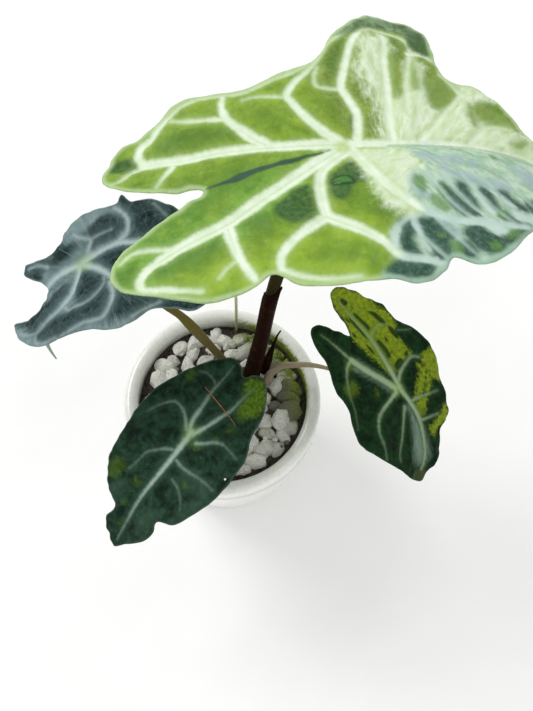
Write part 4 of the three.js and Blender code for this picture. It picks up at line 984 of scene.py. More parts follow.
def blade_height(leaf, rim, points):
    """How far the blade's middle surface stands above its flat plane."""
    spread = FOLD_SPREAD * leaf["length"]
    y = points[:, 1]
    ribs = [nearest_on_line(points, np.array(rib, float))[0] for rib in leaf["ribs"]]
    edge, along, length = nearest_on_line(points, rim, True)
    height = -leaf["arch"] * y * y / leaf["length"]
    height += leaf["fold"] * (np.hypot(y, spread) - spread)
    height -= leaf["pucker"] * np.exp(-((np.min(ribs, axis=0) / PUCKER_WIDTH) ** 2))
    ripple = np.sin(2 * math.pi * leaf["waves"] * along / length)
    height += leaf["wave"] * np.exp(-edge / WAVE_REACH) * ripple
    for x0, y0, rise, reach in leaf["swells"]:
        height += rise * np.exp(-((points[:, 0] - x0) ** 2 + (y - y0) ** 2) / reach**2)
    return height, edge


def rib_relief(leaf, points):
    relief = np.zeros(len(points))
    for rib in leaf["ribs"]:
        distance, along, length = nearest_on_line(points, np.array(rib, float))
        ridge = leaf["rib_height"] * (1 - RIB_TAPER * along / length) * np.exp(-((distance / RIB_WIDTH) ** 2))
        relief = np.maximum(relief, ridge)
    return relief


def blade_axes(leaf):
    """Axes in space: along the midrib, to the left of it, and up from the blade."""
    heading, pitch, roll = (math.radians(leaf[key]) for key in ("heading", "pitch", "roll"))
    along = np.array([
        math.cos(pitch) * math.cos(heading), math.cos(pitch) * math.sin(heading), math.sin(pitch),
    ])
    level = np.array([-math.sin(heading), math.cos(heading), 0])
    side = level * math.cos(roll) + np.cross(along, level) * math.sin(roll)
    return along, side, np.cross(along, side)


def place_on_blade(leaf, points, height):
    """Bends points of the flat blade over the midrib and sets them in space."""
    along, side, up = blade_axes(leaf)
    x = points[:, 0]
    bend = np.radians(np.where(x > 0, leaf["tip_bend"], leaf["lobe_bend"])) / leaf["length"]
    turn = bend * x
    forward = np.sin(turn) / bend + height * np.sin(turn)
    rise = -(1 - np.cos(turn)) / bend + height * np.cos(turn)
    spread = forward[:, None] * along + points[:, 1:2] * side + rise[:, None] * up
    return np.array(leaf["attach"]) + spread


def fine_relief(name, points, fields):
    """The small puckers between the veins, the vein grooves, and what is special to one blade."""
    away = smoothstep(fields["core"], *QUILT["reach"])
    relief = QUILT["rise"] * away * ripples(points, QUILT["size"][name], SEEDS["quilt"])
    relief += GRAINING["rise"] * ripples(points, GRAINING["size"], SEEDS["graining"])
    for key, groove in (("core", VEIN_GROOVE), ("net", NET_GROOVE)):
        relief -= groove["depth"] * np.exp(-((fields[key] / groove["width"]) ** 2))
    if name == "top":
        reach = (points[:, 0] - BLISTER["x"]) ** 2 / BLISTER["along"] ** 2
        reach += (points[:, 1] - BLISTER["y"]) ** 2 / BLISTER["across"] ** 2
        relief += BLISTER["rise"] * np.exp(-(reach**2))
    if "bubble" in PATCHES[name]:
        relief += BUBBLE["rise"] * smoothstep(fields["bubble"], *BUBBLE["reach"])
    return relief


def half_thickness(edge):
    """Half the blade's thickness, rounded off to nothing at its rim."""
    inward = np.clip(edge / EDGE_ROUNDING, 0, 1)
    return 0.5 * BLADE_THICKNESS * np.sqrt(np.clip(1 - (1 - inward) ** 2, 0, 1))


def blade_fields(name, points, veins, veinlets):
    gap, core, run = vein_fields(points, veins)
    fields = {"gap": gap, "core": core, "run": run}
    fields["net"] = distance_to_dots(points, veinlets)
    for patch, rings in PATCHES[name].items():
        fields[patch] = depth_in(points, rings)
    return fields


def blade_face(name, leaf, rim, cell, veins, veinlets):
    """Net, height and fields of one face; the rim's points come first."""
    points, faces = flat_net(rim, cell)
    height, edge = blade_height(leaf, rim[::2], points)
    edge[: len(rim)] = 0
    fields = blade_fields(name, points, veins, veinlets)
    fields["edge"] = edge
    height += fine_relief(name, points, fields)
    return points, faces, height, fields


def tail_shape(leaf, rim):
    """The drip tip that curls down from under the blade's edge."""
    root = np.array([leaf["tail"]["root"]], float)
    height = blade_height(leaf, rim[::2], root)[0] - 0.5 * BLADE_THICKNESS
    course = [tuple(place_on_blade(leaf, root, height)[0]), *leaf["tail"]["course"]]
    return stalk_shape({"course": course, "radii": leaf["tail"]["radii"]}, TAIL_SIDES, TAIL_STEP)


def blade_shape(leaf, upper_face, lower_face, rim_count):
    """Points and faces of a whole blade, whose two faces share the rim's points."""
    flat_up, faces_up, height_up, fields_up = upper_face
    flat_low, faces_low, height_low, fields_low = lower_face
    upper = place_on_blade(leaf, flat_up, height_up + half_thickness(fields_up["edge"]))
    below = height_low - half_thickness(fields_low["edge"])
    below -= rib_relief(leaf, flat_low) * smoothstep(fields_low["edge"], 0, RIB_WIDTH)
    lower = place_on_blade(leaf, flat_low, below)
    inner = np.arange(rim_count, len(lower)) + len(upper) - rim_count
    lower_index = np.concatenate([np.arange(rim_count), inner])
    faces = faces_up.tolist() + lower_index[faces_low][:, ::-1].tolist()
    return np.vstack([upper, lower[rim_count:]]), faces


def build_blade(name, upper_material, lower_material):
    leaf = LEAVES[name]
    upper_cell, lower_cell = FACE_CELLS[name]
    rim = blade_rim(leaf, upper_cell)
    rim_count = len(rim)
    veins = vein_lines(name)
    veinlets = grow_veinlets(veins, rim, len(name) + SEEDS["veinlets"])
    upper_face = blade_face(name, leaf, rim, upper_cell, veins, veinlets)
    lower_face = blade_face(name, leaf, rim, lower_cell, veins, veinlets)
    points, faces = blade_shape(leaf, upper_face, lower_face, rim_count)
    piece = new_object(f"blade_{name}", points, faces)
    for key, values in upper_face[3].items():
        add_values(piece, key, np.concatenate([values, lower_face[3][key][rim_count:]]))
    flat = np.vstack([upper_face[0], lower_face[0][rim_count:]])
    add_values(piece, "flat", np.hstack([flat, np.zeros((len(flat), 1))]))
    piece.data.materials.append(upper_material)
    piece.data.materials.append(lower_material)
    sides = np.zeros(len(faces), np.int32)
    sides[len(upper_face[1]):] = 1
    piece.data.polygons.foreach_set("material_index", sides)
    if "tail" in leaf:
        add_piece(f"drip_tip_{name}", *tail_shape(leaf, rim), lower_material, "dark_leaf")
    put_in_place(piece, "lime_leaf" if name == "top" else "dark_leaf", f"leaf_{name}")


# Stalks
def sweep_frames(course, step, share_from=0.0, share_to=1.0):
    """Middle points and right and rear directions at even steps along a course."""
    line = smooth_line(course, False, COURSE_STEP)
    runs = line_runs(line)
    count = max(4, round(runs[-1] * (share_to - share_from) / step))
    shares = np.linspace(share_from, share_to, count + 1)
    middle = np.stack([np.interp(shares * runs[-1], runs, line[:, k]) for k in range(3)], axis=1)
    slopes = np.gradient(line, axis=0)
    tangent = np.stack([np.interp(shares * runs[-1], runs, slopes[:, k]) for k in range(3)], axis=1)
    tangent /= np.linalg.norm(tangent, axis=1)[:, None]
    back = np.array([0, 1, 0])
    rear = back - (tangent @ back)[:, None] * tangent
    rear /= np.linalg.norm(rear, axis=1)[:, None]
    return shares, middle, np.cross(rear, tangent), rear


def loft(rings):
    """Points and faces of a closed shape through equal rings of points."""
    points = np.vstack(rings)
    sides = len(rings[0])
    faces = []
    for i in range(len(rings) - 1):
        for k in range(sides):
            after = (k + 1) % sides
            low, high = i * sides, (i + 1) * sides
            faces.append((low + k, low + after, high + after, high + k))
    for index, flip in ((0, True), (len(rings) - 1, False)):
        middle = len(points)
        points = np.vstack([points, rings[index].mean(axis=0)])
        for k in range(sides):
            a, b = index * sides + k, index * sides + (k + 1) % sides
            faces.append((b, a, middle) if flip else (a, b, middle))
    return points, faces


def blend(values, shares):
    return np.interp(np.asarray(shares) * (len(values) - 1), np.arange(len(values)), values)


def sweep(course, radii, step, ring, low=0.0, high=1.0):
    """A closed shape along a course, whose ring gives its points' reach and angles at a share."""
    shares, middle, right, rear = sweep_frames(course, step, low, high)
    rings = []
    for share, centre, x_axis, y_axis, radius in zip(shares, middle, right, rear, blend(radii, shares)):
        reach, angles = ring(share, radius)
        rings.append(around(centre, x_axis, y_axis, reach, angles))
    return loft(rings)


def stalk_shape(stalk, sides, step):
    angles = even_angles(sides)
    wing = stalk.get("wing")

    def ring(share, radius):
        reach = np.full(sides, radius)
        if wing and wing["from"] < share < wing["to"]:
            rise = math.sin(math.pi * (share - wing["from"]) / (wing["to"] - wing["from"]))
            toward = np.clip(np.cos(angles - math.radians(wing["side"])), 0, 1)
            reach = reach + wing["width"] * rise * toward ** wing["sharpness"]
        return reach, angles

    return sweep(stalk["course"], stalk["radii"], step, ring)


def cut_under_blade(points, leaf):
    """Draws the top of a stalk back along the blade's underside, so that it doesn't pierce it."""
    up = blade_axes(leaf)[2]
    attach = np.array(leaf["attach"], float)
    above = (points - attach) @ up + 0.5 * BLADE_THICKNESS + leaf["pucker"]
    inside = np.linalg.norm(points - attach, axis=1) < STALK_TOP_REACH
    drop = np.where(inside & (above > 0), above, 0)
    return points - drop[:, None] * up


def build_stalk(name, material, slot):
    stalk = STALKS[name]
    points, faces = stalk_shape(stalk, STALK_SIDES, STALK_STEP)
    points = cut_under_blade(points, LEAVES[name])
    swelling = STALK_SWELLING["rise"] * ripples(points / STALK_SWELLING["size"], 1.0, SEEDS["stalk"])
    add_piece(f"stalk_{name}", points + swelling[:, None], faces, material, slot, f"petiole_{name}")


def sheath_ring(share, inner):
    """Reach and angle of the points of one ring: out along the sheath and back along the stalk."""
    along = (share - SHEATH["from"]) / (SHEATH["to"] - SHEATH["from"])
    closing = float(smoothstep(np.array(along), SHEATH["opens"], 1))
    start, end = (math.radians(lerp(SHEATH["slit"][k], SHEATH["tip"][k], closing)) for k in (0, 1))
    places = np.linspace(0, 1, SHEATH["sides"])
    angles = lerp(start, end, places)
    bulge = np.sin(math.pi * places)
    fullness = SHEATH["edge_share"] + (1 - SHEATH["edge_share"]) * bulge
    thickness = np.maximum(SHEATH["least"], blend(SHEATH["thickness"], [along])[0] * fullness)
    fold = sum(rise * np.sin(count * angles + drift * along) for rise, count, drift in SHEATH["folds"])
    outer = inner + CLEARANCE + thickness + fold * bulge
    inside = np.full(len(places), inner + SHEATH["gap"])
    return np.concatenate([outer, inside[::-1]]), np.concatenate([angles, angles[::-1]])


def build_sheath(material):
    stalk = STALKS["top"]
    shape = sweep(stalk["course"], stalk["radii"], SHEATH["step"], sheath_ring, SHEATH["from"], SHEATH["to"])
    add_piece("sheath_fine", *shape, material, "dark_sheath", "sheath")


def build_scale_leaf(material):
    angles = even_angles(SCALE_LEAF["sides"])
    groove, keels = SCALE_LEAF["groove"], SCALE_LEAF["keels"]
    off_groove = (np.cos(angles - groove["angle"]) - 1) / groove["width"]

    def ring(share, radius):
        hollow = groove["depth"] * np.exp(-off_groove**2) * math.sin(math.pi * share)
        return radius * (1 - hollow + keels["rise"] * np.cos(keels["count"] * angles)), angles

    shape = sweep(SCALE_LEAF["course"], SCALE_LEAF["radii"], SCALE_LEAF["step"], ring)
    add_piece("scale_leaf_fine", *shape, material, "dark_sheath", "scale_leaf")


def build_spent_stalk(material):
    points, faces = stalk_shape(SPENT_STALK, SPENT_STALK["sides"], SPENT_STALK["step"])
    height = points[:, 2].copy()
    for reach, pitch in SPENT_STALK["sways"]:
        points[:, 0] += reach * np.sin(height * pitch)
    add_piece("spent_stalk_fine", points, faces, material, "olive_stalk", "spent_stalk")


# Pot
def pot_inside():
    foot = POT_BASE_RADIUS - POT_WALL
    profile = [(0, POT_FLOOR)]
    for share in np.linspace(0, 1, POT_CORNER_STEPS):
        reach = foot - POT_INNER_CORNER * math.cos(math.pi / 2 * share)
        profile.append((reach, POT_FLOOR + 3 * POT_INNER_CORNER * share))
    middle = lerp(foot, POT_MOUTH_RADIUS, 0.5) + POT_INNER_SWELL
    profile.append((middle, lerp(POT_FLOOR, MIX_TOP, 0.5)))
    profile.append((POT_MOUTH_RADIUS, MIX_TOP - POT_STRAIGHT_BELOW_MIX))
    profile.append((POT_MOUTH_RADIUS, MIX_TOP))
    return profile


def pot_profile():
    lip = (POT_RIM_RADIUS - POT_MOUTH_RADIUS) / 2
    under_lip = POT_HEIGHT - POT_LIP_DEPTH
    flat = POT_BASE_RADIUS - POT_BASE_EDGE
    profile = [(0, 0), (flat - POT_BASE_FLAT, 0), (flat, 0)]
    for angle in np.linspace(0, math.pi / 2, POT_CORNER_STEPS + 1)[1:]:
        profile.append((flat + POT_BASE_EDGE * math.sin(angle), POT_BASE_EDGE * (1 - math.cos(angle))))
    for share in np.linspace(0, 1, POT_WALL_STEPS + 1)[1:]:
        radius = lerp(POT_BASE_RADIUS, POT_RIM_RADIUS - POT_LIP_STEP, math.sin(math.pi / 2 * share))
        profile.append((radius, lerp(POT_BASE_EDGE, under_lip - POT_LIP_STEP, share)))
    for share in np.linspace(0, 1, POT_CORNER_STEPS + 1)[1:]:
        radius = POT_RIM_RADIUS - POT_LIP_STEP * (1 - smoothstep(share, 0, 1))
        profile.append((radius, under_lip - POT_LIP_STEP * (1 - share)))
    for angle in np.linspace(0, math.pi, POT_LIP_STEPS + 1):
        radius = POT_MOUTH_RADIUS + lip + lip * math.cos(angle)
        profile.append((radius, POT_HEIGHT - lip + lip * math.sin(angle)))
    return [*profile, *pot_inside()[::-1]]


def cut_drain_holes(pot):
    low, high = -POT_FLOOR, 2 * POT_FLOOR
    profile = [(0, low), (DRAIN_RADIUS, low), (DRAIN_RADIUS, high), (0, high)]
    for k, angle in enumerate(even_angles(DRAIN_HOLES)):
        points, faces = lathe(profile, DRAIN_SIDES)
        points += DRAIN_CIRCLE_RADIUS * np.array([math.cos(angle), math.sin(angle), 0])
        hole = new_object(f"drain_cut_{k}", points, faces)
        cut = pot.modifiers.new("drain", "BOOLEAN")
        cut.object = hole
        cut.operation = "DIFFERENCE"
        apply_modifier(pot, cut)
        bpy.data.objects.remove(hole)


def build_pot(material):
    piece = new_object("glazed_pot", *lathe(pot_profile(), POT_SIDES))
    cut_drain_holes(piece)
    piece.data.materials.append(material)
    put_in_place(piece, "white_glaze", "pot")


# Potting mix, stones and crown
def stone_directions():
    """Unit points and faces of a fine icosphere."""
    mesh = bpy.data.meshes.new("ball")
    ball = bmesh.new()
    bmesh.ops.create_icosphere(ball, subdivisions=4, radius=1)
    ball.to_mesh(mesh)
    ball.free()
    points = np.array([v.co[:] for v in mesh.vertices])
    faces = np.array([p.vertices[:] for p in mesh.polygons])
    bpy.data.meshes.remove(mesh)
    return points / np.linalg.norm(points, axis=1)[:, None], faces


def chipped_stone(directions, seed):
    """A rounded lump cut by random flats, about 1 across its half."""
    chance = np.random.default_rng(seed)
    reach = np.full(len(directions), STONE_REACH)
    for _ in range(STONE_FLATS):
        flat = chance.normal(size=3)
        flat /= np.linalg.norm(flat)
        facing = np.clip(directions @ flat, STONE_LEAST_FACING, 1)
        reach = np.minimum(reach, chance.uniform(*STONE_FLAT_DEPTHS) / facing)
    for number, (rise, size) in enumerate(STONE_RELIEF):
        reach += rise * ripples(directions, size, seed + 1 + number)
    return directions * reach[:, None]


def spun(points, angle, axis):
    a, b = [(1, 2), (2, 0), (0, 1)][axis]
    turned = points.copy()
    turned[:, a] = points[:, a] * math.cos(angle) - points[:, b] * math.sin(angle)
    turned[:, b] = points[:, a] * math.sin(angle) + points[:, b] * math.cos(angle)
    return turned


def placed_stones(directions):
    """Stones of random size and turn, set evenly over the mix from its middle out."""
    random = seeded_random(STONE_SEED)

    def draw(limits):
        return lerp(*limits, random())

    golden_angle = math.pi * (3 - math.sqrt(5))
    reach = POT_MOUTH_RADIUS - 4 * CLEARANCE
    for k in range(STONE_COUNT):
        size = draw(STONE_RADIUS)
        stretch = draw(STONE_STRETCH)
        stone = chipped_stone(directions, SEEDS["stone_shape"] + k) * size
        stone *= np.array([stretch, 1, draw(STONE_FLATTENING)])
        stone = spun(stone, draw((0, math.pi)), 0)
        stone = spun(stone, draw((0, 2 * math.pi)), 2)
        radius = min(reach - size * stretch, reach * math.sqrt((k + 0.5) / STONE_COUNT))
        angle = k * golden_angle
        place = (radius * math.cos(angle), radius * math.sin(angle), MIX_TOP + size * draw(STONE_RISE))
        yield stone + np.array(place)


def put_together(shapes, faces):
    """Points and faces of many shapes that have the same faces."""
    moved = [faces + number * len(shape) for number, shape in enumerate(shapes)]
    return np.vstack(shapes), np.vstack(moved).tolist()


def build_stones(material):
    directions, faces = stone_directions()
    chance = np.random.default_rng(STONE_SEED)
    stones = list(placed_stones(directions))
    shades = []
    for stone in stones:
        x, y, _ = stone.mean(axis=0)
        is_bark = math.hypot(x - BARK_SPOT["x"], y - BARK_SPOT["y"]) < BARK_SPOT["reach"]
        shades.append(BARK_SHADE if is_bark else chance.uniform(0, 1))
    piece = add_piece("pumice", *put_together(stones, faces), material, "pumice_mix", "potting_mix")
    add_values(piece, "shade", np.repeat(shades, len(directions)))


def mix_height(x, y):
    radius = np.hypot(x, y)
    return MIX_TOP + MIX_MOUND * (1 - (radius / POT_MOUTH_RADIUS) ** MIX_MOUND_POWER)


def build_mix(material):
    """The dark bark and soil between the stones."""
    wall = POT_MOUTH_RADIUS - CLEARANCE
    foot = POT_BASE_RADIUS - POT_WALL
    profile = [
        (0, POT_FLOOR + CLEARANCE),
        (foot - POT_INNER_CORNER, POT_FLOOR + CLEARANCE),
        (foot + POT_INNER_CORNER - CLEARANCE, POT_FLOOR + 3 * POT_INNER_CORNER),
        (wall, MIX_TOP - POT_STRAIGHT_BELOW_MIX),
        (wall, MIX_TOP - MIX_EDGE),
    ]
    for share in np.arange(1, MIX_RINGS) / MIX_RINGS:
        reach = wall * (1 - share)
        profile.append((reach, mix_height(reach, 0) - MIX_SINK))
    profile.append((0, MIX_TOP + MIX_MOUND - MIX_SINK))
    points, faces = lathe(profile, MIX_SIDES)
    top = points[:, 2] > MIX_TOP - 0.9 * MIX_EDGE
    for number, (rise, size) in enumerate(MIX_RELIEF):
        points[top, 2] += rise * ripples(points[top, :2], size, SEEDS["mix"] + number)
    add_piece("bark_mix", points, faces, material, "pumice_mix", "potting_mix")


def build_grit(material):
    """Small chips of pumice in the gaps between the stones."""
    directions, faces = stone_directions()
    chance = np.random.default_rng(SEEDS["grit"])
    chips = []
    for number in range(GRIT_COUNT):
        size = chance.uniform(*GRIT_RADIUS)
        radius = (POT_MOUTH_RADIUS - GRIT_WALL_ROOM) * math.sqrt(chance.uniform(0.01, 1))
        angle = chance.uniform(0, 2 * math.pi)
        x, y = radius * math.cos(angle), radius * math.sin(angle)
        chip = chipped_stone(directions, SEEDS["grit_shape"] + number) * size
        chip *= chance.uniform(*GRIT_STRETCH, 3)
        chips.append(chip + np.array([x, y, mix_height(x, y) + size * chance.uniform(*GRIT_RISE)]))
    piece = new_object("pumice_grit", *put_together(chips, faces))
    add_values(piece, "shade", np.repeat(chance.uniform(0, 1, GRIT_COUNT), len(directions)))
    slim = piece.modifiers.new("fewer", "DECIMATE")
    slim.ratio = GRIT_KEPT_FACES
    apply_modifier(piece, slim)
    piece.data.materials.append(material)
    put_in_place(piece, "pumice_mix")


def build_crown(material):
    height = CROWN["top"] - CROWN["bottom"]
    outline = np.clip(smooth_line(CROWN_OUTLINE, False, CROWN_OUTLINE_STEP), 0, (np.inf, 1))
    profile = [(reach * CROWN["radius"], CROWN["bottom"] + rise * height) for reach, rise in outline]
    points, faces = lathe(profile, CROWN_SIDES)
    angle = np.arctan2(points[:, 1], points[:, 0])
    scars = SCARS["depth"] * np.sin(points[:, 2] * SCARS["pitch"] + SCARS["sway"] * np.sin(3 * angle))
    lumps = CROWN_LUMPS["rise"] * ripples(points, CROWN_LUMPS["size"], SEEDS["crown"])
    points[:, :2] += points[:, :2] / CROWN["radius"] * (scars + lumps)[:, None]
    points[:, :2] += CROWN["x"], CROWN["y"]
    add_piece("crown_fine", points, faces, material, "crown_skin", "crown")


# Small things on the front blade
def on_front_blade(points, lift):
    leaf = LEAVES["front"]
    flat = np.array(points, float)
    height = blade_height(leaf, blade_rim(leaf, 1.0), flat)[0] + 0.5 * BLADE_THICKNESS + lift
    return place_on_blade(leaf, flat, height)


def build_fibre(material):
    course = on_front_blade(smooth_line(FIBRE, False, FIBRE_STEP), FIBRE_RADIUS + FIBRE_LIFT)
    radii = [FIBRE_TIPS[0], FIBRE_RADIUS, FIBRE_RADIUS, FIBRE_TIPS[1]]
    shape = stalk_shape({"course": course, "radii": radii}, FIBRE_SIDES, COURSE_STEP)
    add_piece("dry_fibre", *shape, material, "dark_leaf")


def build_grain(material):
    directions, faces = stone_directions()
    centre = on_front_blade([(GRAIN["x"], GRAIN["y"])], 0.5 * GRAIN["radius"])
    points = chipped_stone(directions, SEEDS["grain_shape"]) * GRAIN["radius"] + centre
    add_piece("white_grain", points, faces.tolist(), material, "pumice_mix")


# Node helpers
def colour(code):
    """A colour from its six-digit screen code."""
    channels = [int(code[k:k + 2], 16) / 255 for k in (0, 2, 4)]
    linear = [c / 12.92 if c <= 0.04045 else ((c + 0.055) / 1.055) ** 2.4 for c in channels]
    return (*linear, 1.0)


class Paint:
    """One procedural material: nodes by short names, and the colour that is painted so far."""

    def __init__(self, name, patch_looks=None):
        self.material = bpy.data.materials.new(name)
        self.material.use_nodes = True
        self.tree = self.material.node_tree
        self.tree.nodes.clear()
        self.output = self.tree.nodes.new("ShaderNodeOutputMaterial")
        self.patch_looks = patch_looks
        self.base = None

    def add(self, kind, inputs, **settings):
        node = self.tree.nodes.new(kind)
        for key, value in settings.items():
            setattr(node, key, value)
        for key, value in inputs.items():
            if isinstance(value, bpy.types.NodeSocket):
                self.tree.links.new(value, node.inputs[key])
            else:
                node.inputs[key].default_value = value
        return node

    def value(self, name):
        return self.add("ShaderNodeAttribute", {}, attribute_name=name).outputs["Fac"]

    def vector(self, name):
        return self.add("ShaderNodeAttribute", {}, attribute_name=name).outputs["Vector"]

    def place(self):
        """The point in the object's own frame, in millimetres."""
        point = self.add("ShaderNodeTexCoord", {}).outputs["Object"]
        return self.add("ShaderNodeVectorMath", {0: point, "Scale": 1 / MM}, operation="SCALE").outputs[0]

    def math(self, kind, a, b=0.0):
        return self.add("ShaderNodeMath", {0: a, 1: b}, operation=kind).outputs[0]

    def product(self, first, *others):
        for other in others:
            first = self.math("MULTIPLY", first, other)
        return first

    def split(self, vector):
        return self.add("ShaderNodeSeparateXYZ", {0: vector}).outputs

    def combine(self, x, y, z=0.0):
        return self.add("ShaderNodeCombineXYZ", {0: x, 1: y, 2: z}).outputs[0]

    def length(self, vector):
        return self.add("ShaderNodeVectorMath", {0: vector}, operation="LENGTH").outputs["Value"]

    def radius(self, x, y):
        return self.math("SQRT", self.math("ADD", self.product(x, x), self.product(y, y)))

    def noise(self, vector, size, detail=3.0, rough=0.55, seed=0.0):
        """Noise whose features are about size across, around 0.5."""
        inputs = {"Vector": vector, "Scale": 1 / size, "Detail": detail, "Roughness": rough, "W": seed}
        return self.add("ShaderNodeTexNoise", inputs, noise_dimensions="4D").outputs["Fac"]

    def cells(self, vector, size):
        """Distance to the middle of the nearest of many random cells, size across."""
        inputs = {"Vector": vector, "Scale": 1 / size}
        return self.add("ShaderNodeTexVoronoi", inputs, feature="F1").outputs["Distance"]

    def step(self, value, low, high, to_low=0.0, to_high=1.0):
        inputs = {"Value": value, "From Min": low, "From Max": high, "To Min": to_low, "To Max": to_high}
        return self.add("ShaderNodeMapRange", inputs, interpolation_type="SMOOTHSTEP").outputs[0]

    def wobble(self, value, noise, amount):
        """The value shifted by the noise, by up to half the amount either way."""
        return self.math("ADD", value, self.product(self.math("SUBTRACT", noise, 0.5), amount))

    def mix(self, share, a, b):
        """A mix of two colours, each a socket or a screen code."""
        a, b = (colour(ink) if isinstance(ink, str) else ink for ink in (a, b))
        return self.add("ShaderNodeMix", {"Factor": share, 6: a, 7: b}, data_type="RGBA").outputs[2]

    def lay(self, share, ink):
        """Paints a colour over what is there, by its share at each point."""
        self.base = self.mix(share, self.base, ink)

    def patch_share(self, patch, *noises):
        """How clearly a named patch shows, with its edge made uneven by the noises."""
        shifts, fade, strength, _ = self.patch_looks[patch]
        edge = self.value(patch)
        for noise, shift in zip(noises, shifts):
            edge = self.wobble(edge, noise, shift)
        return self.step(edge, *fade, 0.0, strength)

    def lay_patch(self, patch, noises, grain=None):
        """Paints a named patch in its one colour, or in two that the grain mixes."""
        codes = self.patch_looks[patch][3]
        ink = codes[0] if grain is None else self.mix(grain, *codes)
        self.lay(self.patch_share(patch, *noises), ink)

    def bump(self, height, distance, strength):
        inputs = {"Height": height, "Distance": distance * MM, "Strength": strength}
        return self.add("ShaderNodeBump", inputs).outputs[0]

    def finish(self, roughness, normal, **sockets):
        inputs = {"Base Color": self.base, "Roughness": roughness, "Normal": normal, **sockets}
        shader = self.add("ShaderNodeBsdfPrincipled", inputs)
        self.tree.links.new(shader.outputs[0], self.output.inputs["Surface"])
        return self.material


def ray_vector(paint, flat, middle):
    """Coordinates that run out from a point of the blade, for streaks along the blade's flow."""
    x, y, _ = paint.split(flat)
    x = paint.math("SUBTRACT", x, middle[0])
    y = paint.math("SUBTRACT", y, middle[1])
    angle = paint.math("ARCTAN2", y, x)
    return paint.combine(paint.product(angle, STREAK_TURN), paint.product(paint.radius(x, y), STREAK_REACH))


def drawn_out(paint, point, share):
    """Coordinates in which upright lines are short, for grain that runs along a stalk."""
    x, y, z = paint.split(point)
    return paint.combine(x, y, paint.product(z, share))


# Leaf materials
def vein_edge(paint, gap, core, amount):
    """The distance outside a vein, made uneven by slow swelling and by short strokes sideways."""
    run = paint.value("run")
    slow = paint.noise(paint.combine(run, 0.0), 7.0, 2.0)
    strokes = paint.noise(paint.combine(run, paint.product(core, 0.35)), 1.7, 3.0, 0.6)
    return paint.wobble(paint.wobble(gap, slow, 1.5 * amount), strokes, amount)


def vein_strength(paint, gap, core, least):
    """How clearly a vein shows: the thin ones fade into the blade."""
    return paint.step(paint.math("SUBTRACT", core, gap), 0.1, 1.1, least, 1.0)


def leaf_bump(paint, flat, fine, fine_share, cell, depth, strength):
    height = paint.math("ADD", paint.product(fine, fine_share), paint.cells(flat, cell))
    return paint.bump(height, depth, strength)


def lay_lime_fields(paint, flat, small, medium):
    """The lime and olive fields between the veins, with their darker patches, and their middles darker:
    partly the leaf's own colour, partly painted shade between the veins.
    """
    broad = paint.noise(flat, 16, 2.0)
    flecks = paint.noise(flat, 3.2, 5.0, 0.72, 21.0)
    paint.base = paint.mix(paint.step(medium, 0.32, 0.66), "6a8b25", "87a834")
    paint.lay_patch("fresh", (), paint.step(medium, 0.32, 0.68))
    paint.lay_patch("olive_side", (broad,), paint.step(small, 0.35, 0.65))
    paint.lay_patch("yellow", (broad,), medium)
    paint.lay(paint.step(broad, 0.5, 0.7, 0.0, 0.35), "97ad42")
    # Darker middles of the fields, away from the veins: partly the leaf's own colour, partly painted shade
    field_middles_tone_and_shade = paint.step(paint.wobble(paint.value("gap"), medium, 7), 3.0, 10, 0.0, 0.55)
    paint.lay(field_middles_tone_and_shade, "5a8128")
    paint.lay(paint.step(flecks, 0.5, 0.72, 0.0, 0.4), "a6bf48")
    paint.lay(paint.step(flecks, 0.3, 0.46, 0.35, 0.0), "527a26")
    paint.lay_patch("patch_soft", (medium,))
    paint.lay_patch("patch", (small,), paint.step(small, 0.3, 0.7))


def lay_sector(paint, sector, rays, fine_rays, small, medium):
    """The mint and lavender sector with its dark teal, green and silver marks."""
    under = paint.base
    paint.base = paint.mix(paint.step(rays, 0.36, 0.64), "94b89c", "c4dcc2")
    paint.lay_patch("lavender", (medium,), rays)
    paint.lay(paint.step(fine_rays, 0.52, 0.72, 0.0, 0.45), "6f9a82")
    paint.lay_patch("dark", (rays, small), paint.step(small, 0.4, 0.72))
    paint.lay_patch("green", (small,), small)
    paint.lay_patch("silver", (fine_rays,))
    paint.base = paint.mix(sector, under, paint.base)


def lay_pale_veins(paint, sector, small, medium):
    """The pale veins with soft edges, a paler halo round them that is partly their own colour and partly
    painted light, and in the widest a greener mid-line that is partly their own colour and partly painted
    shade in their groove.
    """
    gap, core = paint.value("gap"), paint.value("core")
    edge = vein_edge(paint, gap, core, 0.9)
    # The paler halo by the veins: partly the leaf's own colour, partly painted light for relief
    halo = paint.step(paint.wobble(edge, medium, 3), -0.5, 4.0, 0.42, 0.0)
    halo = paint.product(halo, paint.step(sector, 0.0, 1.0, 1.0, 0.4))
    paint.lay(halo, paint.mix(sector, "abc97a", "9cbdae"))
    mint = paint.mix(paint.step(medium, 0.3, 0.7), "d8ebca", "ebf6e3")
    silver = paint.mix(medium, "a6c4b8", "cfe3db")
    veil = paint.step(paint.wobble(edge, small, 1.0), -0.7, 1.6, 0.97, 0.0)
    veil = paint.product(veil, vein_strength(paint, gap, core, 0.45))
    paint.lay(veil, paint.mix(sector, mint, silver))
    # A greener line down the middle of the widest veins: partly their own colour, partly painted shade in
    # their groove
    wide = paint.step(paint.math("SUBTRACT", core, gap), 1.3, 2.2, 0.0, 0.4)
    paint.lay(paint.product(wide, paint.step(core, 0.1, 0.9, 1.0, 0.0)), "b3cd93")
    paint.lay_patch("seam", (small,))


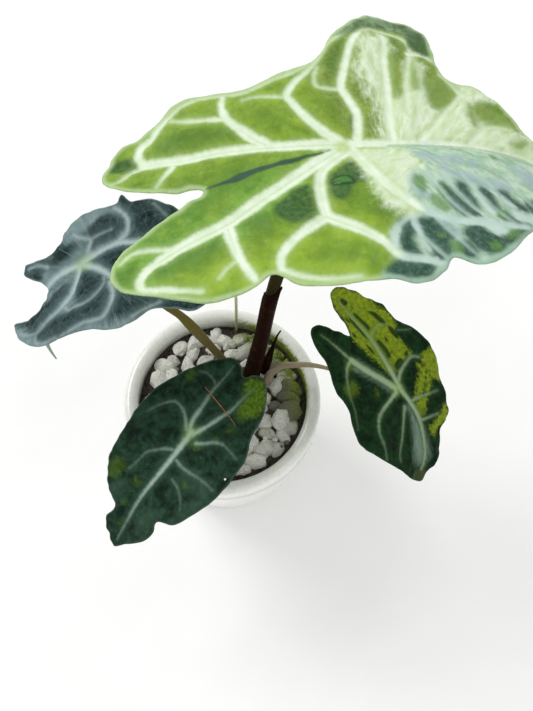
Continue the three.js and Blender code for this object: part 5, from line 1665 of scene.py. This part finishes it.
def lay_borders(paint, sector, combed, small, medium):
    """The rolled edge with its painted shade and sky reflection, the pale margin, and the dark strip along
    the fold between the lobes, partly its own colour and partly painted shade.
    """
    # Painted shade and sky reflection on the rolled edge
    paint.lay_patch("roll", (combed,), paint.step(combed, 0.35, 0.7))
    paint.lay_patch("hump_green", (combed,), combed)
    margin = paint.step(paint.wobble(paint.value("edge"), medium, 2.0), 0.4, 3.2, 0.8, 0.0)
    paint.lay(margin, paint.mix(sector, "b8d29a", "9cbda6"))
    # The dark fold strip: partly its own colour, partly painted shade of the fold
    paint.lay_patch("fold_strip_and_shade", (small,), small)


def blister_share(paint, flat):
    """Reaches 1 at the blister's edge and is smaller inside it."""
    middle = (BLISTER["x"], BLISTER["y"], 0.0)
    radii = (BLISTER["along"], BLISTER["across"], 1.0)
    offset = paint.add("ShaderNodeVectorMath", {0: flat, 1: middle}, operation="SUBTRACT").outputs[0]
    share = paint.add("ShaderNodeVectorMath", {0: offset, 1: radii}, operation="DIVIDE").outputs[0]
    return paint.length(share)


def lime_leaf_material():
    paint = Paint("lime_leaf_paint", PATCH_LOOKS["top"])
    flat = paint.vector("flat")
    medium = paint.noise(flat, 5, 4.0, seed=3.0)
    small = paint.noise(flat, 2.2, 4.0, 0.6, 13.0)
    fine = paint.noise(flat, 0.9, 3.0, 0.6, 5.0)
    haze_streaks = paint.noise(ray_vector(paint, flat, HAZE_FLOW), 1.2, 4.0, 0.65, 2.0)
    fan_streaks = paint.noise(ray_vector(paint, flat, FAN_FLOW), 1.4, 4.0, 0.65, 2.0)
    combed = paint.mix(paint.step(paint.split(flat)[1], -4, 2), fan_streaks, haze_streaks)
    rays = paint.noise(ray_vector(paint, flat, SECTOR_FLOW), 1.6, 5.0, 0.65)
    fine_rays = paint.noise(ray_vector(paint, flat, SECTOR_FLOW), 0.9, 5.0, 0.7, 4.0)
    lay_lime_fields(paint, flat, small, medium)
    paint.lay(paint.step(paint.wobble(paint.value("net"), fine, 0.5), 0.0, 0.9, 0.05, 0.0), "cfe6a4")
    paint.lay_patch("haze", (combed, small), paint.step(combed, 0.3, 0.72))
    paint.lay_patch("olive", (combed,), small)
    sector = paint.patch_share("sector", rays)
    lay_sector(paint, sector, rays, fine_rays, small, medium)
    blister = blister_share(paint, flat)
    green = paint.mix(paint.step(blister, 0.6, 1.0), "3f7a2e", "1f451c")
    paint.lay(paint.step(blister, 0.95, 1.3, 0.9, 0.0), green)
    lay_pale_veins(paint, sector, small, medium)
    lay_borders(paint, sector, combed, small, medium)
    paint.lay(paint.step(paint.length(flat), 1, 5, 0.7, 0.0), "aeca74")
    normal = leaf_bump(paint, flat, fine, 0.5, 0.8, 0.12, 0.45)
    return paint.finish(paint.step(blister, 0.8, 1.1, 0.14, 0.52), normal, **{SPECULAR: 0.2})


def dark_leaf_material(name):
    looks = DARK_LOOKS[name]
    paint = Paint(f"dark_leaf_paint_{name}", PATCH_LOOKS[name])
    flat = paint.vector("flat")
    gap, core = paint.value("gap"), paint.value("core")
    medium = paint.noise(flat, 5, 4.0, 0.6, 3.0)
    small = paint.noise(flat, 1.8, 4.0, 0.65, 7.0)
    fine = paint.noise(flat, 0.8, 3.0, 0.6, 5.0)
    combed = paint.noise(ray_vector(paint, flat, DARK_FLOW), 1.4, 4.0, 0.65, 2.0)
    paint.base = paint.mix(paint.step(medium, 0.35, 0.68), looks["deep"], looks["body"])
    paint.lay_patch("haze", (combed,), combed)
    if name == "left":
        # A streaked wash of the haze's pale colour over the whole left blade: partly its silver colouring,
        # partly painted sheen
        paint.lay(paint.step(combed, 0.5, 0.75, 0.0, 0.4), PATCH_LOOKS["left"]["haze"][3][1])
        paint.lay_patch("bubble", (small,), paint.step(small, 0.4, 0.75))
    paint.lay_patch("lime", (small, combed), paint.step(small, 0.3, 0.7))
    if "spots" in PATCHES[name]:
        paint.lay_patch("spots", (small,), small)
    if name == "right":
        paint.lay_patch("bubble", (small,))
        paint.lay_patch("curl", (small,))
    net = paint.step(paint.wobble(paint.value("net"), fine, 0.4), 0.0, 0.7, looks["net"], 0.0)
    paint.lay(net, looks["vein"])
    specks = paint.step(paint.cells(flat, 2.1), 0.04, 0.12, 0.5, 0.0)
    paint.lay(paint.product(specks, paint.step(medium, 0.5, 0.64)), looks["vein"])
    edge = vein_edge(paint, gap, core, looks["edge"])
    strength = vein_strength(paint, gap, core, looks["least"])
    halo = paint.step(paint.wobble(edge, medium, 3), -0.6, looks["halo_reach"], 0.65, 0.0)
    paint.lay(paint.product(halo, strength), looks["halo"])
    veil = paint.step(paint.wobble(edge, small, 1.4), *looks["veil"], 0.92, 0.0)
    paint.lay(paint.product(veil, strength), looks["vein"])
    paint.lay(paint.product(paint.step(paint.length(flat), 1, 8, 0.55, 0.0), halo), "9dbb70")
    margin = paint.step(paint.wobble(paint.value("edge"), medium, 1.0), 0.1, 1.2, 0.55, 0.0)
    paint.lay(margin, looks["margin"])
    return paint.finish(0.5, leaf_bump(paint, flat, fine, 0.6, 0.7, 0.1, 0.5), **{SPECULAR: 0.07})


def underside_material(name, pale, rib):
    paint = Paint(f"underside_paint_{name}")
    flat = paint.vector("flat")
    medium = paint.noise(flat, 4, 4.0, 0.6, 8.0)
    paint.base = paint.mix(paint.step(medium, 0.3, 0.7), *pale)
    paint.lay(paint.step(paint.value("net"), 0.1, 0.6, 0.5, 0.0), rib)
    paint.lay(paint.step(paint.value("gap"), 0.0, 0.8, 0.9, 0.0), rib)
    return paint.finish(0.6, paint.bump(paint.cells(flat, 0.6), 0.08, 0.5))


# Stalk, sheath and pot materials
def stalk_material(name):
    """A stalk that changes colour at a height, with fine lines along it and small flecks."""
    low, high, change, spread = STALK_LOOKS[name]
    paint = Paint(f"{name}_stalk_paint")
    point = paint.place()
    along = drawn_out(paint, point, 0.12)
    lines = paint.noise(along, 0.45, 3.0)
    mottle = paint.noise(point, 3.0, 4.0, 0.6, 2.0)
    height = paint.wobble(paint.split(point)[2], mottle, spread)
    up = paint.step(height, change - spread, change + spread)
    paint.base = paint.mix(up, paint.mix(lines, *low), paint.mix(lines, *high))
    paint.lay(paint.step(paint.cells(along, 1.3), 0.08, 0.2, 0.4, 0.0), low[0])
    return paint.finish(0.6, paint.bump(lines, 0.15, 0.5), **{SPECULAR: 0.04})


def sheath_material():
    paint = Paint("dark_sheath_paint")
    point = paint.place()
    fibres = paint.noise(drawn_out(paint, point, 0.08), 0.5, 4.0, 0.65)
    blotch = paint.noise(point, 6.0, 4.0, 0.6, 4.0)
    paint.base = paint.mix(paint.step(fibres, 0.35, 0.75), "100502", "2c1206")
    paint.lay(paint.step(blotch, 0.52, 0.7, 0.0, 0.5), "4a1f0d")
    return paint.finish(0.6, paint.bump(fibres, 0.3, 0.6), **{SPECULAR: 0.03})


def wall_side(paint, point, low, high):
    """How far a point belongs to the damp back right of the pot's inside, from 0 to 1."""
    x, y, _ = paint.split(point)
    angle = paint.math("ARCTAN2", y, x)
    side = paint.product(paint.step(angle, -0.5, 0.2), paint.step(angle, 1.1, 1.7, 1.0, 0.0))
    return paint.product(paint.step(paint.radius(x, y), low, high), side)


def glaze_material():
    """White glaze, with algae inside the wall at the back right."""
    paint = Paint("white_glaze_paint")
    point = paint.place()
    x, y, z = paint.split(point)
    speckle = paint.noise(point, 2.0, 4.0, 0.6)
    patch = paint.noise(point, 7.0, 4.0, 0.65, 6.0)
    paint.base = paint.mix(paint.step(speckle, 0.4, 0.7), "f1f1ec", "e6e7de")
    inside = paint.step(paint.radius(x, y), *ALGAE["radius"], 1.0, 0.0)
    under_lip = paint.step(paint.wobble(z, speckle, 6), *ALGAE["top"], 1.0, 0.0)
    above_mix = paint.step(z, *ALGAE["foot"])
    side = wall_side(paint, point, 30, 40)
    growth = paint.product(inside, under_lip, above_mix, side, paint.step(patch, 0.28, 0.45))
    paint.lay(growth, paint.mix(paint.step(speckle, 0.35, 0.65), "5b6e14", "a2b436"))
    rough = paint.step(growth, 0, 1, 0.16, 0.75)
    coat = {"Coat Weight": 0.4, "Coat Roughness": 0.08}
    return paint.finish(rough, paint.bump(speckle, 0.05, 0.2), **coat)


def pumice_material():
    """Pale porous stone; the bark's shade is the highest, and moss lies at the back right."""
    paint = Paint("pumice_paint")
    point = paint.place()
    shade = paint.value("shade")
    grain = paint.noise(point, 0.8, 5.0, 0.7)
    patch = paint.noise(point, 4.0, 3.0, 0.6, 3.0)
    pores = paint.step(paint.cells(point, 0.9), 0.12, 0.45)
    paint.base = paint.mix(paint.step(grain, 0.3, 0.7), "cfcec4", "efefe9")
    paint.lay(paint.step(shade, 0.4, 1.0, 0.0, 0.6), "a8a598")
    paint.lay(paint.step(shade, 0.9, 0.94, 0.0, 0.85), "5f594d")
    paint.lay(paint.step(pores, 0.0, 1.0, 0.4, 0.0), "7f7c72")
    paint.lay(paint.step(patch, 0.56, 0.72, 0.0, 0.4), "9fa184")
    moss = paint.product(wall_side(paint, point, 31, 42), paint.step(patch, 0.32, 0.52))
    paint.lay(moss, paint.mix(paint.step(grain, 0.35, 0.65), "43520f", "93a52c"))
    height = paint.math("ADD", paint.product(pores, 0.7), grain)
    return paint.finish(0.92, paint.bump(height, 0.45, 0.8))


def bark_material():
    paint = Paint("bark_mix_paint")
    point = paint.place()
    chunks = paint.cells(point, 2.2)
    grain = paint.noise(point, 0.7, 4.0, 0.7)
    paint.base = paint.mix(paint.step(chunks, 0.1, 0.6), "1f1a16", "4a4038")
    paint.lay(paint.step(grain, 0.55, 0.75, 0.0, 0.6), "6c6357")
    return paint.finish(0.95, paint.bump(paint.math("ADD", chunks, grain), 0.8, 0.9))


def plain_material(name, codes, roughness, grain, relief=(0.05, 0.3)):
    """Two colours mixed by one noise, given as its size and settings."""
    paint = Paint(name)
    speckle = paint.noise(paint.place(), *grain)
    paint.base = paint.mix(paint.step(speckle, 0.35, 0.65), *codes)
    return paint.finish(roughness, paint.bump(speckle, *relief))


# Stage, light and camera
def build_stage():
    side = FLOOR_HALF_SIDE
    corners = [(-side, -side, 0), (side, -side, 0), (side, side, 0), (-side, side, 0)]
    floor = new_object("floor", corners, [(0, 1, 2, 3)])
    floor.data.materials.append(plain_material("floor_paint", ("fdfdfc", "ffffff"), 0.9, (60,)))


def add_to_scene(name, data, place):
    made = bpy.data.objects.new(name, data)
    made.location = Vector(place) * MM
    bpy.context.scene.collection.objects.link(made)
    return made


def build_lights():
    world = bpy.data.worlds.new("soft_room")
    world.use_nodes = True
    background = world.node_tree.nodes["Background"]
    background.inputs["Color"].default_value = (1, 1, 1, 1)
    background.inputs["Strength"].default_value = ROOM_LIGHT
    bpy.context.scene.world = world
    for name, light in LIGHTS.items():
        data = bpy.data.lights.new(name, "AREA")
        data.size = light["size"] * MM
        data.energy = light["power"]
        beam = Vector(light["target"]) - Vector(light["place"])
        add_to_scene(name, data, light["place"]).rotation_euler = beam.to_track_quat("-Z", "Y").to_euler()


def build_camera():
    data = bpy.data.cameras.new("camera")
    data.lens = CAMERA_LENS
    data.sensor_width = CAMERA_SENSOR
    data.clip_start = CAMERA_NEAREST * MM
    camera = add_to_scene("camera", data, CAMERA_PLACE)
    camera.rotation_euler = (math.radians(CAMERA_TILT), 0, 0)
    bpy.context.scene.camera = camera


def build_plant():
    lime_side = underside_material("top", ("8ea66a", "9fb57c"), "b9cf9a")
    dark_side = underside_material("dark", ("4d6353", "62786a"), "93a89a")
    build_blade("top", lime_leaf_material(), lime_side)
    for name in ("left", "front", "right"):
        build_blade(name, dark_leaf_material(name), dark_side)
    green = stalk_material("green")
    build_stalk("top", stalk_material("olive"), "olive_stalk")
    build_stalk("left", green, "olive_stalk")
    build_stalk("front", green, "olive_stalk")
    build_stalk("right", stalk_material("pale"), "pale_stalk")
    sheath = sheath_material()
    build_sheath(sheath)
    build_scale_leaf(sheath)
    build_spent_stalk(stalk_material("spent"))
    build_fibre(plain_material("fibre_paint", ("8a4f2c", "b57a50"), 0.6, (1.5,)))
    build_grain(plain_material("grain_paint", ("f4f4f0", "e0e0da"), 0.7, (0.5,)))


def build_pot_and_mix():
    build_pot(glaze_material())
    stones = pumice_material()
    build_stones(stones)
    build_grit(stones)
    build_mix(bark_material())
    build_crown(plain_material("crown_paint", ("2a1c12", "5d4730"), 0.85, (1.4, 5.0, 0.65), (0.5, 0.8)))


bpy.context.scene.view_settings.view_transform = "Standard"
build_camera()
build_lights()
build_stage()
build_plant()
build_pot_and_mix()
